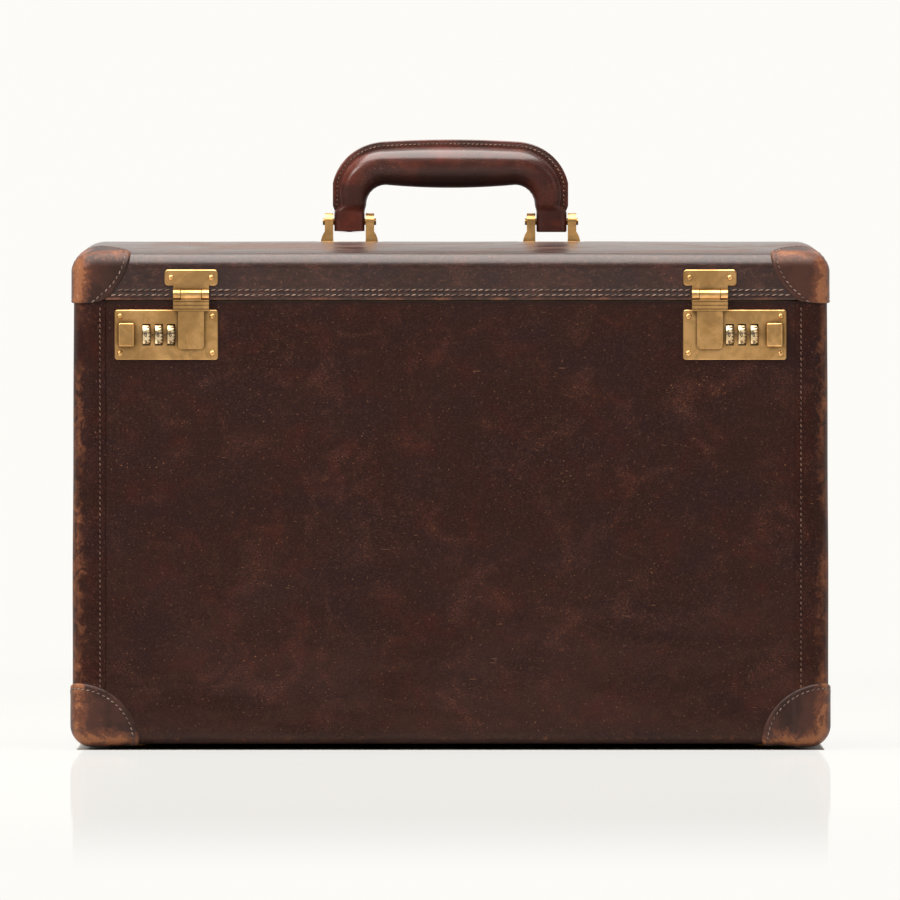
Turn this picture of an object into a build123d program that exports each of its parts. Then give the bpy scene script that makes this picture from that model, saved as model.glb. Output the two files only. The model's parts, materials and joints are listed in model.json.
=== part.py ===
from build123d import *
from math import cos, radians, sin
import os

os.makedirs("parts", exist_ok=True)

# A leather box briefcase with a hinged lid, two combination locks and a folding handle.
# Millimetres. X is the width, -Y the front, +Z up, and the origin lies on the floor below the centre.

# Case
case_width = 453.0
case_depth = 180.0
body_height = 265.9
lid_height = 35.1
lid_gap = 0.8
stud_height = 3.5
crown_rise = 8.0
corner_radius = 12.0
base_roundness = 0.95
lid_end_radius = 18.0
lid_shoulder_radius = 9.5

# Boards, hides and linings
board_thickness = 6.0
lid_board_edge = 4.0
hide_thickness = 1.8
skived_thickness = 0.8
patch_thickness = 1.2
lining_thickness = 1.0
end_overlap = 20.0
foot_patch_reach = 40.0
foot_patch_height = 37.0
lid_patch_reach = 35.5
lid_patch_height = 41.0

# Tongue of the body boards inside the lid rails
tongue_thickness = 3.0
tongue_height = 8.0
tongue_clearance = 0.5
tongue_headroom = 2.0

# Base studs
stud_radius = 7.0
stud_flat_radius = 4.5
stud_shank_radius = 1.5
stud_shank_depth = 5.0
stud_inset_x = 38.0
stud_inset_y = 30.0

# Back hinge
hinge_end_gap = 31.5
hinge_knuckles = 15
hinge_knuckle_gap = 0.4
hinge_barrel_radius = 2.4
hinge_pin_radius = 1.2
hinge_leaf_thickness = 1.0
hinge_leaf_height = 9.0
hinge_standoff = 0.2
hinge_rivets = 6
hinge_rivet_radius = 1.1
hinge_head_radius = 2.0
hinge_head_height = 0.6
pin_clearance = 0.05

# Locks
lock_inset = 56.0
lock_drop = 20.05
plate_width = 62.0
plate_height = 29.9
plate_thickness = 1.6
plate_corner = 1.5
plate_bevel = 0.5
window_width = 4.8
window_height = 12.9
window_relief = 0.6
dial_count = 3
dial_pitch = 7.4
dial_first_offset = 11.85
dial_width = 4.3
dial_radius = 7.6
dial_rise = 2.35
dial_rim = 0.8
dial_notches = 20
dial_notch_radius = 0.45
axle_radius = 1.5
thumb_offset = 23.9
thumb_width = 9.7
thumb_height = 14.3
thumb_rise = 4.6
thumb_lift = 0.3
thumb_corner = 1.2
thumb_edge = 1.1
thumb_travel = 3.5
stem_width = 3.6
stem_height = 6.0
stem_shift = 1.0
bar_thickness = 1.2
hook_reach = 2.1
hook_thickness = 1.2
hook_height = 2.4
arm_width = 3.2
case_wall = 0.8
running_gap = 0.4
cheek_thickness = 0.8
spring_radius = 2.0
spring_bore = 1.5
detent_thickness = 0.3
detent_gap = 0.3
rivet_inset = 3.3
rivet_drop = 3.9
rivet_head_radius = 1.75
rivet_head_height = 0.8
rivet_shank_radius = 0.9
rivet_bite = 3.0

# Hasps
staple_inset = 14.9
hasp_barrel_radius = 2.8
hasp_barrel_rise = 3.4
hasp_barrel_width = 21.4
hasp_knuckle_width = 12.2
hasp_pin_radius = 1.0
hasp_plate_width = 32.0
hasp_plate_height = 9.6
hasp_plate_rise = 13.4
hasp_plate_thickness = 1.4
hasp_plate_corner = 2.2
hasp_rivet_inset = 3.9
hasp_leaf_thickness = 1.6
hasp_shoulder_thickness = 2.2
hasp_shoulder_height = 6.8
hasp_tongue_width = 15.6
hasp_tongue_end = 32.9
hasp_tongue_corner = 2.5
hasp_rib_depth = 0.4
hasp_rib_height = 0.7
hasp_ribs = 3
staple_width = 4.0
staple_height = 4.0
staple_reach = 2.5
staple_drop = 26.1
staple_clearance = 0.8

# Handle
bracket_offset = 61.2
bracket_base_length = 34.6
bracket_base_depth = 16.0
bracket_base_thickness = 1.2
ear_gap = 19.7
ear_thickness = 5.1
ear_foot_depth = 15.0
ear_flare = 2.3
ear_top_radius = 5.2
handle_pin_rise = 12.0
handle_pin_radius = 2.0
handle_pin_proud = 1.2
bracket_screw_offset = 4.9
bracket_screw_radius = 1.6
bracket_screw_depth = 6.0
handle_span = 102.0
handle_rise = 61.8
seam_width = 4.4
seam_thickness = 3.2
grip_height = 24.9
grip_depth = 25.0
tab_width = 18.3
tab_depth = 13.0
tab_drop = 6.3
tab_corner = 3.5
inner_bend_radius = 12.0
grip_sag = 1.8
grip_taper = 3.0
grip_corner = 11.2
shoulder_depth = 22.0
shoulder_corner = 10.2
bend_fullness = 1.5
leg_width = 15.9
leg_depth = 15.5
leg_corner = 6.0
core_gap = 0.2
grip_shares = (0, 0.35, 0.7)
bend_turns = (90, 67.5, 45, 22.5, 0)
handle_hide = 2.0

# Overshoot of the cuts
cut_margin = 1.0

# Levels and faces worked out from the sizes above
half_width = case_width / 2
half_depth = case_depth / 2
base_z = stud_height
body_top = base_z + body_height
lid_bottom = body_top + lid_gap
crown_z = lid_bottom + lid_height
front_y = -half_depth
board_half_width = half_width - hide_thickness
board_half_depth = half_depth - hide_thickness
board_base = base_z + hide_thickness
inner_half_width = board_half_width - board_thickness
inner_half_depth = board_half_depth - board_thickness
inner_floor = board_base + board_thickness
rail_top = crown_z - crown_rise - hide_thickness - lid_board_edge
tongue_top = body_top + tongue_height
relief_top = tongue_top + tongue_headroom
hinge_length = case_width - 2 * hinge_end_gap
hinge_y = half_depth + hinge_standoff + hinge_barrel_radius
hinge_z = (body_top + lid_bottom) / 2
lock_offset = half_width - lock_inset
lock_z = body_top - lock_drop
plate_face = front_y - plate_thickness
dial_y = plate_face - dial_rise + dial_radius
bar_y = dial_y + dial_radius + running_gap + detent_thickness + detent_gap
case_back = bar_y + bar_thickness + running_gap + case_wall
case_half_height = dial_radius + running_gap + case_wall
case_half_width = plate_width / 2 - plate_corner
hasp_offset = lock_offset - staple_inset
hasp_z = lid_bottom + hasp_barrel_rise
hasp_y = front_y - hinge_standoff - hasp_barrel_radius
leaf_back = plate_face - running_gap
pin_z = crown_z + handle_pin_rise
sides = {"left": -1, "right": 1}
ends = {"front": -1, "back": 1}


def block(x_range, y_range, z_range, mode=Mode.ADD):
    """A box between two corners, given as ranges in either order."""
    ranges = (x_range, y_range, z_range)
    with Locations(tuple((low + high) / 2 for low, high in ranges)):
        Box(*(abs(high - low) for low, high in ranges), mode=mode)


def rod_x(x_range, y, z, radius, mode=Mode.ADD):
    """A round rod along X."""
    with Locations(Location(((x_range[0] + x_range[1]) / 2, y, z), (0, 90, 0))):
        Cylinder(radius, abs(x_range[1] - x_range[0]), mode=mode)


def rod_y(x, y_range, z, radius, mode=Mode.ADD):
    """A round rod along Y."""
    with Locations(Location((x, (y_range[0] + y_range[1]) / 2, z), (90, 0, 0))):
        Cylinder(radius, abs(y_range[1] - y_range[0]), mode=mode)


def rod_z(x, y, z_range, radius, mode=Mode.ADD):
    """A round rod along Z."""
    with Locations((x, y, (z_range[0] + z_range[1]) / 2)):
        Cylinder(radius, abs(z_range[1] - z_range[0]), mode=mode)


def body_form(inset):
    """The rounded outside of the body, moved inwards by the inset."""
    radius = corner_radius - inset
    with BuildPart() as form:
        with BuildSketch(Plane.XY.offset(base_z + inset)):
            RectangleRounded(case_width - 2 * inset, case_depth - 2 * inset, radius)
        extrude(amount=body_top - base_z - inset)
        fillet(form.faces().sort_by(Axis.Z)[0].edges(), radius * base_roundness)
    return form.part


def lid_form(inset):
    """The crowned outside of the lid, moved inwards by the inset."""
    half = half_depth - inset
    apex = crown_z - inset
    with BuildPart() as form:
        with BuildSketch(Plane.YZ):
            with BuildLine():
                crown = ThreePointArc((-half, apex - crown_rise), (0, apex), (half, apex - crown_rise))
                Polyline(crown @ 1, (half, lid_bottom), (-half, lid_bottom), crown @ 0)
            make_face()
            fillet(vertices().group_by(Axis.Y)[-1], lid_shoulder_radius - inset)
        extrude(amount=half_width - inset, both=True)
        with BuildSketch(Plane.XZ):
            with Locations((0, (lid_bottom + apex) / 2)):
                Rectangle(case_width - 2 * inset, apex - lid_bottom)
            fillet(vertices().group_by(Axis.Y)[-1], lid_end_radius - inset)
        extrude(amount=half, both=True, mode=Mode.INTERSECT)
        with BuildSketch(Plane.XY.offset(lid_bottom)):
            RectangleRounded(case_width - 2 * inset, case_depth - 2 * inset, corner_radius - inset)
        extrude(amount=apex - lid_bottom, mode=Mode.INTERSECT)
    return form.part


def corner_patch(outer, inner, side, end, corner_z, reach, height):
    """The shell between two forms, as far as an ellipsoid round the case's corner."""
    x, y = side * half_width, end * half_depth
    with BuildPart() as patch:
        with BuildSketch(Plane.XZ.offset(-y)):
            with Locations((x, corner_z)):
                Ellipse(reach, height)
            with Locations((x + reach / 2, corner_z)):
                Rectangle(reach, 2 * height, mode=Mode.INTERSECT)
        revolve(axis=Axis((x, y, 0), (0, 0, 1)))
        add(outer, mode=Mode.INTERSECT)
        add(inner, mode=Mode.SUBTRACT)
    return patch.part


def rivet_places():
    """X and Z of the four rivets of each lock plate."""
    dx = plate_width / 2 - rivet_inset
    dz = plate_height / 2 - rivet_drop
    return [
        (side * lock_offset + x, lock_z + z) for side in sides.values() for x in (-dx, dx) for z in (-dz, dz)
    ]


def hasp_rivet_places():
    """X and Z of the two rivets of each hasp plate."""
    dx = hasp_plate_width / 2 - hasp_rivet_inset
    z = lid_bottom + hasp_plate_rise
    return [(side * hasp_offset + x, z) for side in sides.values() for x in (-dx, dx)]


def hinge_rivet_places():
    """X of the rivets in each leaf of the back hinge."""
    pitch = hinge_length / hinge_rivets
    return [pitch * (i - (hinge_rivets - 1) / 2) for i in range(hinge_rivets)]


def stud_places():
    return [
        (x * (half_width - stud_inset_x), y * (half_depth - stud_inset_y))
        for x in sides.values()
        for y in ends.values()
    ]


def screw_places():
    """X of the two screws of each handle bracket, between its ears."""
    dx = bracket_screw_offset
    return [side * bracket_offset + x for side in sides.values() for x in (-dx, dx)]


# Outer shapes of the boards and of the lid's hide, and the levels of the back hinge's leaves
carcass = body_form(hide_thickness)
lid_carcass = lid_form(hide_thickness)
lid_outside = lid_form(0)
hinge_leaf_bottom = hinge_z - hinge_barrel_radius - running_gap - hinge_leaf_height
hinge_leaf_top = hinge_z + hinge_barrel_radius + running_gap + hinge_leaf_height
body_rivet_z = hinge_leaf_bottom + hinge_leaf_height / 2
lid_rivet_z = hinge_leaf_top - hinge_leaf_height / 2


def cut_lock_openings():
    """The square hole for each lock case and the holes of the plate rivets."""
    for side in sides.values():
        x = side * lock_offset
        block(
            (x - case_half_width, x + case_half_width),
            (front_y - cut_margin, front_y + hide_thickness + board_thickness + cut_margin),
            (lock_z - case_half_height, lock_z + case_half_height),
            mode=Mode.SUBTRACT,
        )
    for x, z in rivet_places():
        rod_y(x, (front_y - cut_margin, front_y + rivet_bite), z, rivet_shank_radius, Mode.SUBTRACT)


def cut_hinge_holes(z):
    for x in hinge_rivet_places():
        rod_y(x, (half_depth + cut_margin, half_depth - rivet_bite), z, hinge_rivet_radius, Mode.SUBTRACT)


def cut_stud_holes():
    for x, y in stud_places():
        rod_z(x, y, (0, base_z + stud_shank_depth), stud_shank_radius, Mode.SUBTRACT)


# Body boards
tongue_half_width = inner_half_width + tongue_thickness
tongue_half_depth = inner_half_depth + tongue_thickness

with BuildPart() as bottom_board:
    add(carcass)
    block((-half_width, half_width), (-half_depth, half_depth), (inner_floor, body_top), Mode.SUBTRACT)
    cut_stud_holes()
bottom_board.part.label = "bottom_board"
export_step(bottom_board.part, "parts/bottom_board.step")

for name, end in ends.items():
    with BuildPart() as long_board:
        add(carcass)
        block(
            (-half_width, half_width),
            (end * inner_half_depth, end * half_depth),
            (inner_floor, body_top),
            Mode.INTERSECT,
        )
        block(
            (-tongue_half_width, tongue_half_width),
            (end * inner_half_depth, end * tongue_half_depth),
            (body_top, tongue_top),
        )
        if name == "front":
            cut_lock_openings()
        else:
            cut_hinge_holes(body_rivet_z)
    long_board.part.label = f"{name}_board"
    export_step(long_board.part, f"parts/{name}_board.step")

for name, side in sides.items():
    with BuildPart() as end_board:
        add(carcass)
        block(
            (side * inner_half_width, side * half_width),
            (-inner_half_depth, inner_half_depth),
            (inner_floor, body_top),
            Mode.INTERSECT,
        )
        block(
            (side * inner_half_width, side * tongue_half_width),
            (-inner_half_depth, inner_half_depth),
            (body_top, tongue_top),
        )
    end_board.part.label = f"{name}_board"
    export_step(end_board.part, f"parts/{name}_board.step")

# Body hide: up the front, under the bottom and up the back, short of the rounded upright corners
wrap_half_width = half_width - corner_radius
with BuildPart() as body_wrap:
    add(body_form(0))
    add(carcass, mode=Mode.SUBTRACT)
    block((-wrap_half_width, wrap_half_width), (-half_depth, half_depth), (0, body_top), Mode.INTERSECT)
    cut_lock_openings()
    cut_hinge_holes(body_rivet_z)
    cut_stud_holes()
body_wrap.part.label = "body_wrap"
export_step(body_wrap.part, "parts/body_wrap.step")

# End hides lap over the wrap with a skived edge, and the foot patches over both
end_hide_form = body_form(-skived_thickness)
patch_form = body_form(-skived_thickness - patch_thickness)
for name, side in sides.items():
    with BuildPart() as end_cover:
        add(end_hide_form)
        add(carcass, mode=Mode.SUBTRACT)
        block(
            (side * (half_width - end_overlap), side * half_width),
            (-case_depth, case_depth),
            (0, body_top),
            Mode.INTERSECT,
        )
        add(body_wrap.part, mode=Mode.SUBTRACT)
    end_cover.part.label = f"{name}_end_cover"
    export_step(end_cover.part, f"parts/{name}_end_cover.step")

    for end_name, end in ends.items():
        with BuildPart() as foot_patch:
            reach, height = foot_patch_reach, foot_patch_height
            add(corner_patch(patch_form, end_hide_form, side, end, base_z, reach, height))
        foot_patch.part.label = f"foot_patch_{end_name}_{name}"
        export_step(foot_patch.part, f"parts/foot_patch_{end_name}_{name}.step")

# Lining tray of the body, up to the top of the tongue, with an opening round each lock case
with BuildPart() as body_lining:
    block((-inner_half_width, inner_half_width), (-inner_half_depth, inner_half_depth), (inner_floor, tongue_top))
    block(
        (lining_thickness - inner_half_width, inner_half_width - lining_thickness),
        (lining_thickness - inner_half_depth, inner_half_depth - lining_thickness),
        (inner_floor + lining_thickness, tongue_top),
        Mode.SUBTRACT,
    )
    for side in sides.values():
        x = side * lock_offset
        block(
            (x - case_half_width, x + case_half_width),
            (-inner_half_depth, lining_thickness - inner_half_depth),
            (lock_z - case_half_height, lock_z + case_half_height),
            Mode.SUBTRACT,
        )
body_lining.part.label = "body_lining"
export_step(body_lining.part, "parts/body_lining.step")

# Four studs under the base, rounded at the rim and flat below
with BuildPart() as base_studs:
    for x, y in stud_places():
        with BuildSketch(Plane.XZ.offset(-y)):
            with BuildLine():
                rim = EllipticalCenterArc(
                    (x + stud_flat_radius, stud_height),
                    stud_radius - stud_flat_radius,
                    stud_height,
                    start_angle=-90,
                    arc_size=90,
                )
                Polyline(
                    rim @ 1,
                    (x + stud_shank_radius, stud_height),
                    (x + stud_shank_radius, base_z + stud_shank_depth),
                    (x, base_z + stud_shank_depth),
                    (x, 0),
                    rim @ 0,
                )
            make_face()
        revolve(axis=Axis((x, y, 0), (0, 0, 1)))
base_studs.part.label = "base_studs"
export_step(base_studs.part, "parts/base_studs.step")

# Lid boards: a crowned top board on four rails, whose inner side clears the tongue
relief_half_width = tongue_half_width + tongue_clearance
relief_half_depth = tongue_half_depth + tongue_clearance


def cut_tongue_relief():
    block(
        (-relief_half_width, relief_half_width),
        (-relief_half_depth, relief_half_depth),
        (lid_bottom, relief_top),
        Mode.SUBTRACT,
    )


with BuildPart() as lid_top_board:
    add(lid_carcass)
    block((-half_width, half_width), (-half_depth, half_depth), (lid_bottom, rail_top), Mode.SUBTRACT)
    for x in screw_places():
        rod_z(x, 0, (crown_z - bracket_screw_depth, crown_z), bracket_screw_radius, Mode.SUBTRACT)
lid_top_board.part.label = "lid_top_board"
export_step(lid_top_board.part, "parts/lid_top_board.step")

for name, end in ends.items():
    with BuildPart() as long_rail:
        add(lid_carcass)
        block(
            (-half_width, half_width),
            (end * inner_half_depth, end * half_depth),
            (lid_bottom, rail_top),
            Mode.INTERSECT,
        )
        cut_tongue_relief()
        if name == "front":
            for x, z in hasp_rivet_places():
                rod_y(x, (front_y - cut_margin, front_y + rivet_bite), z, rivet_shank_radius, Mode.SUBTRACT)
        else:
            cut_hinge_holes(lid_rivet_z)
    long_rail.part.label = f"lid_{name}_rail"
    export_step(long_rail.part, f"parts/lid_{name}_rail.step")

for name, side in sides.items():
    with BuildPart() as end_rail:
        add(lid_carcass)
        block(
            (side * inner_half_width, side * half_width),
            (-inner_half_depth, inner_half_depth),
            (lid_bottom, rail_top),
            Mode.INTERSECT,
        )
        cut_tongue_relief()
    end_rail.part.label = f"lid_{name}_rail"
    export_step(end_rail.part, f"parts/lid_{name}_rail.step")

# Lid hide, with a pocket in which each handle bracket's base lies flush
with BuildPart() as lid_cover:
    add(lid_outside)
    add(lid_carcass, mode=Mode.SUBTRACT)
    for side in sides.values():
        x = side * bracket_offset
        block(
            (x - bracket_base_length / 2, x + bracket_base_length / 2),
            (-bracket_base_depth / 2, bracket_base_depth / 2),
            (crown_z - bracket_base_thickness, crown_z),
            Mode.SUBTRACT,
        )
    for x in screw_places():
        rod_z(x, 0, (crown_z - bracket_screw_depth, crown_z), bracket_screw_radius, Mode.SUBTRACT)
    for x, z in hasp_rivet_places():
        rod_y(x, (front_y - cut_margin, front_y + rivet_bite), z, rivet_shank_radius, Mode.SUBTRACT)
    cut_hinge_holes(lid_rivet_z)
lid_cover.part.label = "lid_cover"
export_step(lid_cover.part, "parts/lid_cover.step")

lid_patch_form = lid_form(-patch_thickness)
for name, side in sides.items():
    for end_name, end in ends.items():
        with BuildPart() as lid_patch:
            reach, height = lid_patch_reach, lid_patch_height
            add(corner_patch(lid_patch_form, lid_outside, side, end, crown_z, reach, height))
        lid_patch.part.label = f"lid_patch_{end_name}_{name}"
        export_step(lid_patch.part, f"parts/lid_patch_{end_name}_{name}.step")

# Lining of the lid, below the top board and inside the rails
with BuildPart() as lid_lining:
    block((-inner_half_width, inner_half_width), (-inner_half_depth, inner_half_depth), (relief_top, rail_top))
    block(
        (lining_thickness - inner_half_width, inner_half_width - lining_thickness),
        (lining_thickness - inner_half_depth, inner_half_depth - lining_thickness),
        (relief_top, rail_top - lining_thickness),
        Mode.SUBTRACT,
    )
lid_lining.part.label = "lid_lining"
export_step(lid_lining.part, "parts/lid_lining.step")

# Back hinge: two leaves whose knuckles take turns on one long pin
knuckle_pitch = hinge_length / hinge_knuckles
knuckle_starts = [i * knuckle_pitch - hinge_length / 2 for i in range(hinge_knuckles)]
leaf_levels = {
    "body": (hinge_leaf_bottom, hinge_z - hinge_barrel_radius - running_gap, body_rivet_z),
    "lid": (hinge_z + hinge_barrel_radius + running_gap, hinge_leaf_top, lid_rivet_z),
}
leaf_back_y = half_depth + hinge_leaf_thickness
for first, (name, (low, high, rivet_z)) in enumerate(leaf_levels.items()):
    with BuildPart() as hinge_leaf:
        block((-hinge_length / 2, hinge_length / 2), (half_depth, leaf_back_y), (low, high))
        root_z = high if name == "body" else low
        for start in knuckle_starts[first::2]:
            span = (start + hinge_knuckle_gap / 2, start + knuckle_pitch - hinge_knuckle_gap / 2)
            block(span, (half_depth, leaf_back_y), (root_z, hinge_z))
            rod_x(span, hinge_y, hinge_z, hinge_barrel_radius)
        rod_x((-case_width, case_width), hinge_y, hinge_z, hinge_pin_radius + pin_clearance, Mode.SUBTRACT)
        for x in hinge_rivet_places():
            rod_y(x, (half_depth, leaf_back_y), rivet_z, hinge_rivet_radius, Mode.SUBTRACT)
    hinge_leaf.part.label = f"hinge_{name}_leaf"
    export_step(hinge_leaf.part, f"parts/hinge_{name}_leaf.step")

    with BuildPart() as leaf_rivets:
        for x in hinge_rivet_places():
            rod_y(x, (half_depth - rivet_bite, leaf_back_y), rivet_z, hinge_rivet_radius)
            rod_y(x, (leaf_back_y, leaf_back_y + hinge_head_height), rivet_z, hinge_head_radius)
    leaf_rivets.part.label = f"hinge_{name}_rivets"
    export_step(leaf_rivets.part, f"parts/hinge_{name}_rivets.step")

with BuildPart() as hinge_pin:
    rod_x((-hinge_length / 2, hinge_length / 2), hinge_y, hinge_z, hinge_pin_radius)
hinge_pin.part.label = "hinge_pin"
export_step(hinge_pin.part, "parts/hinge_pin.step")


# Locks. Distances along X are counted from the lock's middle, outwards from the case's middle.
cheek_outer = dial_first_offset + dial_width / 2 + running_gap
cheek_inner = dial_first_offset - (dial_count - 1) * dial_pitch - dial_width / 2 - running_gap
stem_middle = thumb_offset + stem_shift
stem_outer = stem_middle + stem_width / 2
stem_inner = stem_middle - stem_width / 2
staple_offset = -staple_inset
staple_z = hasp_z - staple_drop
hook_tip = staple_offset - staple_width / 2 - running_gap
arm_outer = hook_tip - hook_reach
arm_inner = arm_outer - arm_width
dial_places = [dial_first_offset - i * dial_pitch for i in range(dial_count)]
cavity_half_height = case_half_height - case_wall


def out(side, distance):
    """The X of a place in a lock, from its distance outwards of the lock's middle."""
    return side * (lock_offset + distance)


for name, side in sides.items():
    x = out(side, 0)

    # Lock plate with the dial windows, the slot of the thumb slide and the staple's notch
    with BuildPart() as lock_plate:
        with BuildSketch(Plane.XZ.offset(-front_y)):
            with Locations((x, lock_z)):
                RectangleRounded(plate_width, plate_height, plate_corner)
        extrude(amount=plate_thickness)
        chamfer(lock_plate.faces().sort_by(Axis.Y)[0].outer_wire().edges(), plate_bevel)
        for dial_offset in dial_places:
            window_x = out(side, dial_offset)
            block(
                (window_x - window_width / 2, window_x + window_width / 2),
                (plate_face, front_y),
                (lock_z - window_height / 2, lock_z + window_height / 2),
                Mode.SUBTRACT,
            )
        block(
            (out(side, cheek_outer), out(side, cheek_inner)),
            (front_y - window_relief, front_y),
            (lock_z - dial_radius, lock_z + dial_radius),
            Mode.SUBTRACT,
        )
        block(
            (out(side, stem_outer + running_gap), out(side, stem_inner - thumb_travel - running_gap)),
            (plate_face, front_y),
            (lock_z - stem_height / 2 - running_gap, lock_z + stem_height / 2 + running_gap),
            Mode.SUBTRACT,
        )
        block(
            (
                out(side, staple_offset + staple_width / 2 + staple_clearance),
                out(side, staple_offset - staple_width / 2 - staple_clearance),
            ),
            (plate_face, front_y),
            (staple_z - staple_height / 2 - staple_clearance, lock_z + plate_height / 2),
            Mode.SUBTRACT,
        )
        for rivet_x, rivet_z in rivet_places():
            rod_y(rivet_x, (plate_face, front_y), rivet_z, rivet_shank_radius, Mode.SUBTRACT)
    lock_plate.part.label = f"lock_plate_{name}"
    export_step(lock_plate.part, f"parts/lock_plate_{name}.step")

    # Lock case: a tray behind the plate, with two cheeks that hold the dial axle
    with BuildPart() as lock_case:
        outer_x, inner_x = out(side, case_half_width), out(side, -case_half_width)
        block(
            (outer_x, inner_x), (front_y, case_back), (lock_z - case_half_height, lock_z + case_half_height)
        )
        block(
            (outer_x - side * case_wall, inner_x + side * case_wall),
            (front_y, case_back - case_wall),
            (lock_z - cavity_half_height, lock_z + cavity_half_height),
            Mode.SUBTRACT,
        )
        for cheek, direction in ((cheek_outer, 1), (cheek_inner, -1)):
            block(
                (out(side, cheek), out(side, cheek + direction * cheek_thickness)),
                (front_y, dial_y + dial_radius),
                (lock_z - cavity_half_height, lock_z + cavity_half_height),
            )
        axle_span = (out(side, cheek_inner - cheek_thickness), out(side, cheek_outer + cheek_thickness))
        rod_x(axle_span, dial_y, lock_z, axle_radius, Mode.SUBTRACT)
    lock_case.part.label = f"lock_case_{name}"
    export_step(lock_case.part, f"parts/lock_case_{name}.step")

    with BuildPart() as dial_axle:
        rod_x(axle_span, dial_y, lock_z, axle_radius)
    dial_axle.part.label = f"dial_axle_{name}"
    export_step(dial_axle.part, f"parts/dial_axle_{name}.step")

    # Dials with a plain band for the digits and a milled rim on one side
    for number, dial_offset in enumerate(dial_places, 1):
        dial_x = out(side, dial_offset)
        with BuildPart() as dial:
            rod_x((dial_x - dial_width / 2, dial_x + dial_width / 2), dial_y, lock_z, dial_radius)
            rod_x(
                (dial_x - dial_width / 2, dial_x + dial_width / 2),
                dial_y,
                lock_z,
                axle_radius + pin_clearance,
                Mode.SUBTRACT,
            )
            for i in range(dial_notches):
                turn = radians(360 / dial_notches * (i + 0.5))
                rod_x(
                    (dial_x + dial_width / 2 - dial_rim, dial_x + dial_width / 2),
                    dial_y + dial_radius * cos(turn),
                    lock_z + dial_radius * sin(turn),
                    dial_notch_radius,
                    Mode.SUBTRACT,
                )
        dial.part.label = f"dial_{name}_{number}"
        export_step(dial.part, f"parts/dial_{name}_{number}.step")

    # Thumb slide: button, stem, the bar behind the dials, and the hook beside the staple
    with BuildPart() as thumb_slide:
        button_x = out(side, thumb_offset)
        with BuildSketch(Plane.XZ.offset(-(plate_face - thumb_lift))):
            with Locations((button_x, lock_z)):
                RectangleRounded(thumb_width, thumb_height, thumb_corner)
        extrude(amount=thumb_rise - thumb_lift)
        fillet(thumb_slide.faces().sort_by(Axis.Y)[0].edges(), thumb_edge)
        block(
            (out(side, stem_outer), out(side, stem_inner)),
            (plate_face - thumb_lift, bar_y + bar_thickness),
            (lock_z - stem_height / 2, lock_z + stem_height / 2),
        )
        block(
            (out(side, stem_outer), out(side, arm_inner)),
            (bar_y, bar_y + bar_thickness),
            (lock_z - stem_height / 2, lock_z + stem_height / 2),
        )
        block(
            (out(side, arm_outer), out(side, arm_inner)),
            (front_y + running_gap, bar_y + bar_thickness),
            (lock_z - stem_height / 2, lock_z + stem_height / 2),
        )
        block(
            (out(side, hook_tip), out(side, arm_outer)),
            (front_y + running_gap, front_y + running_gap + hook_thickness),
            (staple_z - hook_height / 2, staple_z + hook_height / 2),
        )
    thumb_slide.part.label = f"thumb_slide_{name}"
    export_step(thumb_slide.part, f"parts/thumb_slide_{name}.step")

    # Return spring between the stem and the outer cheek, as the sleeve that its closed turns make
    spring_y = (dial_y + bar_y) / 2
    with BuildPart() as slide_spring:
        spring_span = (out(side, cheek_outer + cheek_thickness), out(side, stem_inner))
        rod_x(spring_span, spring_y, lock_z, spring_radius)
        rod_x(spring_span, spring_y, lock_z, spring_bore, Mode.SUBTRACT)
    slide_spring.part.label = f"slide_spring_{name}"
    export_step(slide_spring.part, f"parts/slide_spring_{name}.step")

# Detent springs: one strip with a finger behind each dial, tucked between the cheeks
with BuildPart() as detent_springs:
    for side in sides.values():
        strip_y = dial_y + dial_radius + detent_gap
        for dial_offset in dial_places:
            dial_x = out(side, dial_offset)
            block(
                (dial_x - dial_width / 2, dial_x + dial_width / 2),
                (strip_y, strip_y + detent_thickness),
                (lock_z - cavity_half_height, lock_z),
            )
        block(
            (out(side, cheek_outer), out(side, cheek_inner)),
            (strip_y, strip_y + detent_thickness),
            (lock_z - cavity_half_height, lock_z - stem_height / 2 - running_gap),
        )
detent_springs.part.label = "detent_springs"
export_step(detent_springs.part, "parts/detent_springs.step")


def domed_rivet(plate):
    """A rivet through a plate of the given thickness, pointing at -Y, with its head at Y = 0."""
    with BuildPart() as rivet:
        with BuildSketch(Plane.XY):
            with BuildLine():
                dome = TangentArc((0, -rivet_head_height), (rivet_head_radius, 0), tangent=(1, 0))
                Polyline(
                    dome @ 1,
                    (rivet_shank_radius, 0),
                    (rivet_shank_radius, plate + rivet_bite),
                    (0, plate + rivet_bite),
                    dome @ 0,
                )
            make_face()
        revolve(axis=Axis.Y)
    return rivet.part


# Rivets with domed heads: eight in the lock plates, four in the hasp plates
with BuildPart() as lock_rivets:
    with Locations(*((x, plate_face, z) for x, z in rivet_places())):
        add(domed_rivet(plate_thickness))
lock_rivets.part.label = "lock_rivets"
export_step(lock_rivets.part, "parts/lock_rivets.step")

hasp_plate_face = front_y - hasp_plate_thickness
with BuildPart() as hasp_rivets:
    with Locations(*((x, hasp_plate_face, z) for x, z in hasp_rivet_places())):
        add(domed_rivet(hasp_plate_thickness))
hasp_rivets.part.label = "hasp_rivets"
export_step(hasp_rivets.part, "parts/hasp_rivets.step")

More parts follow.
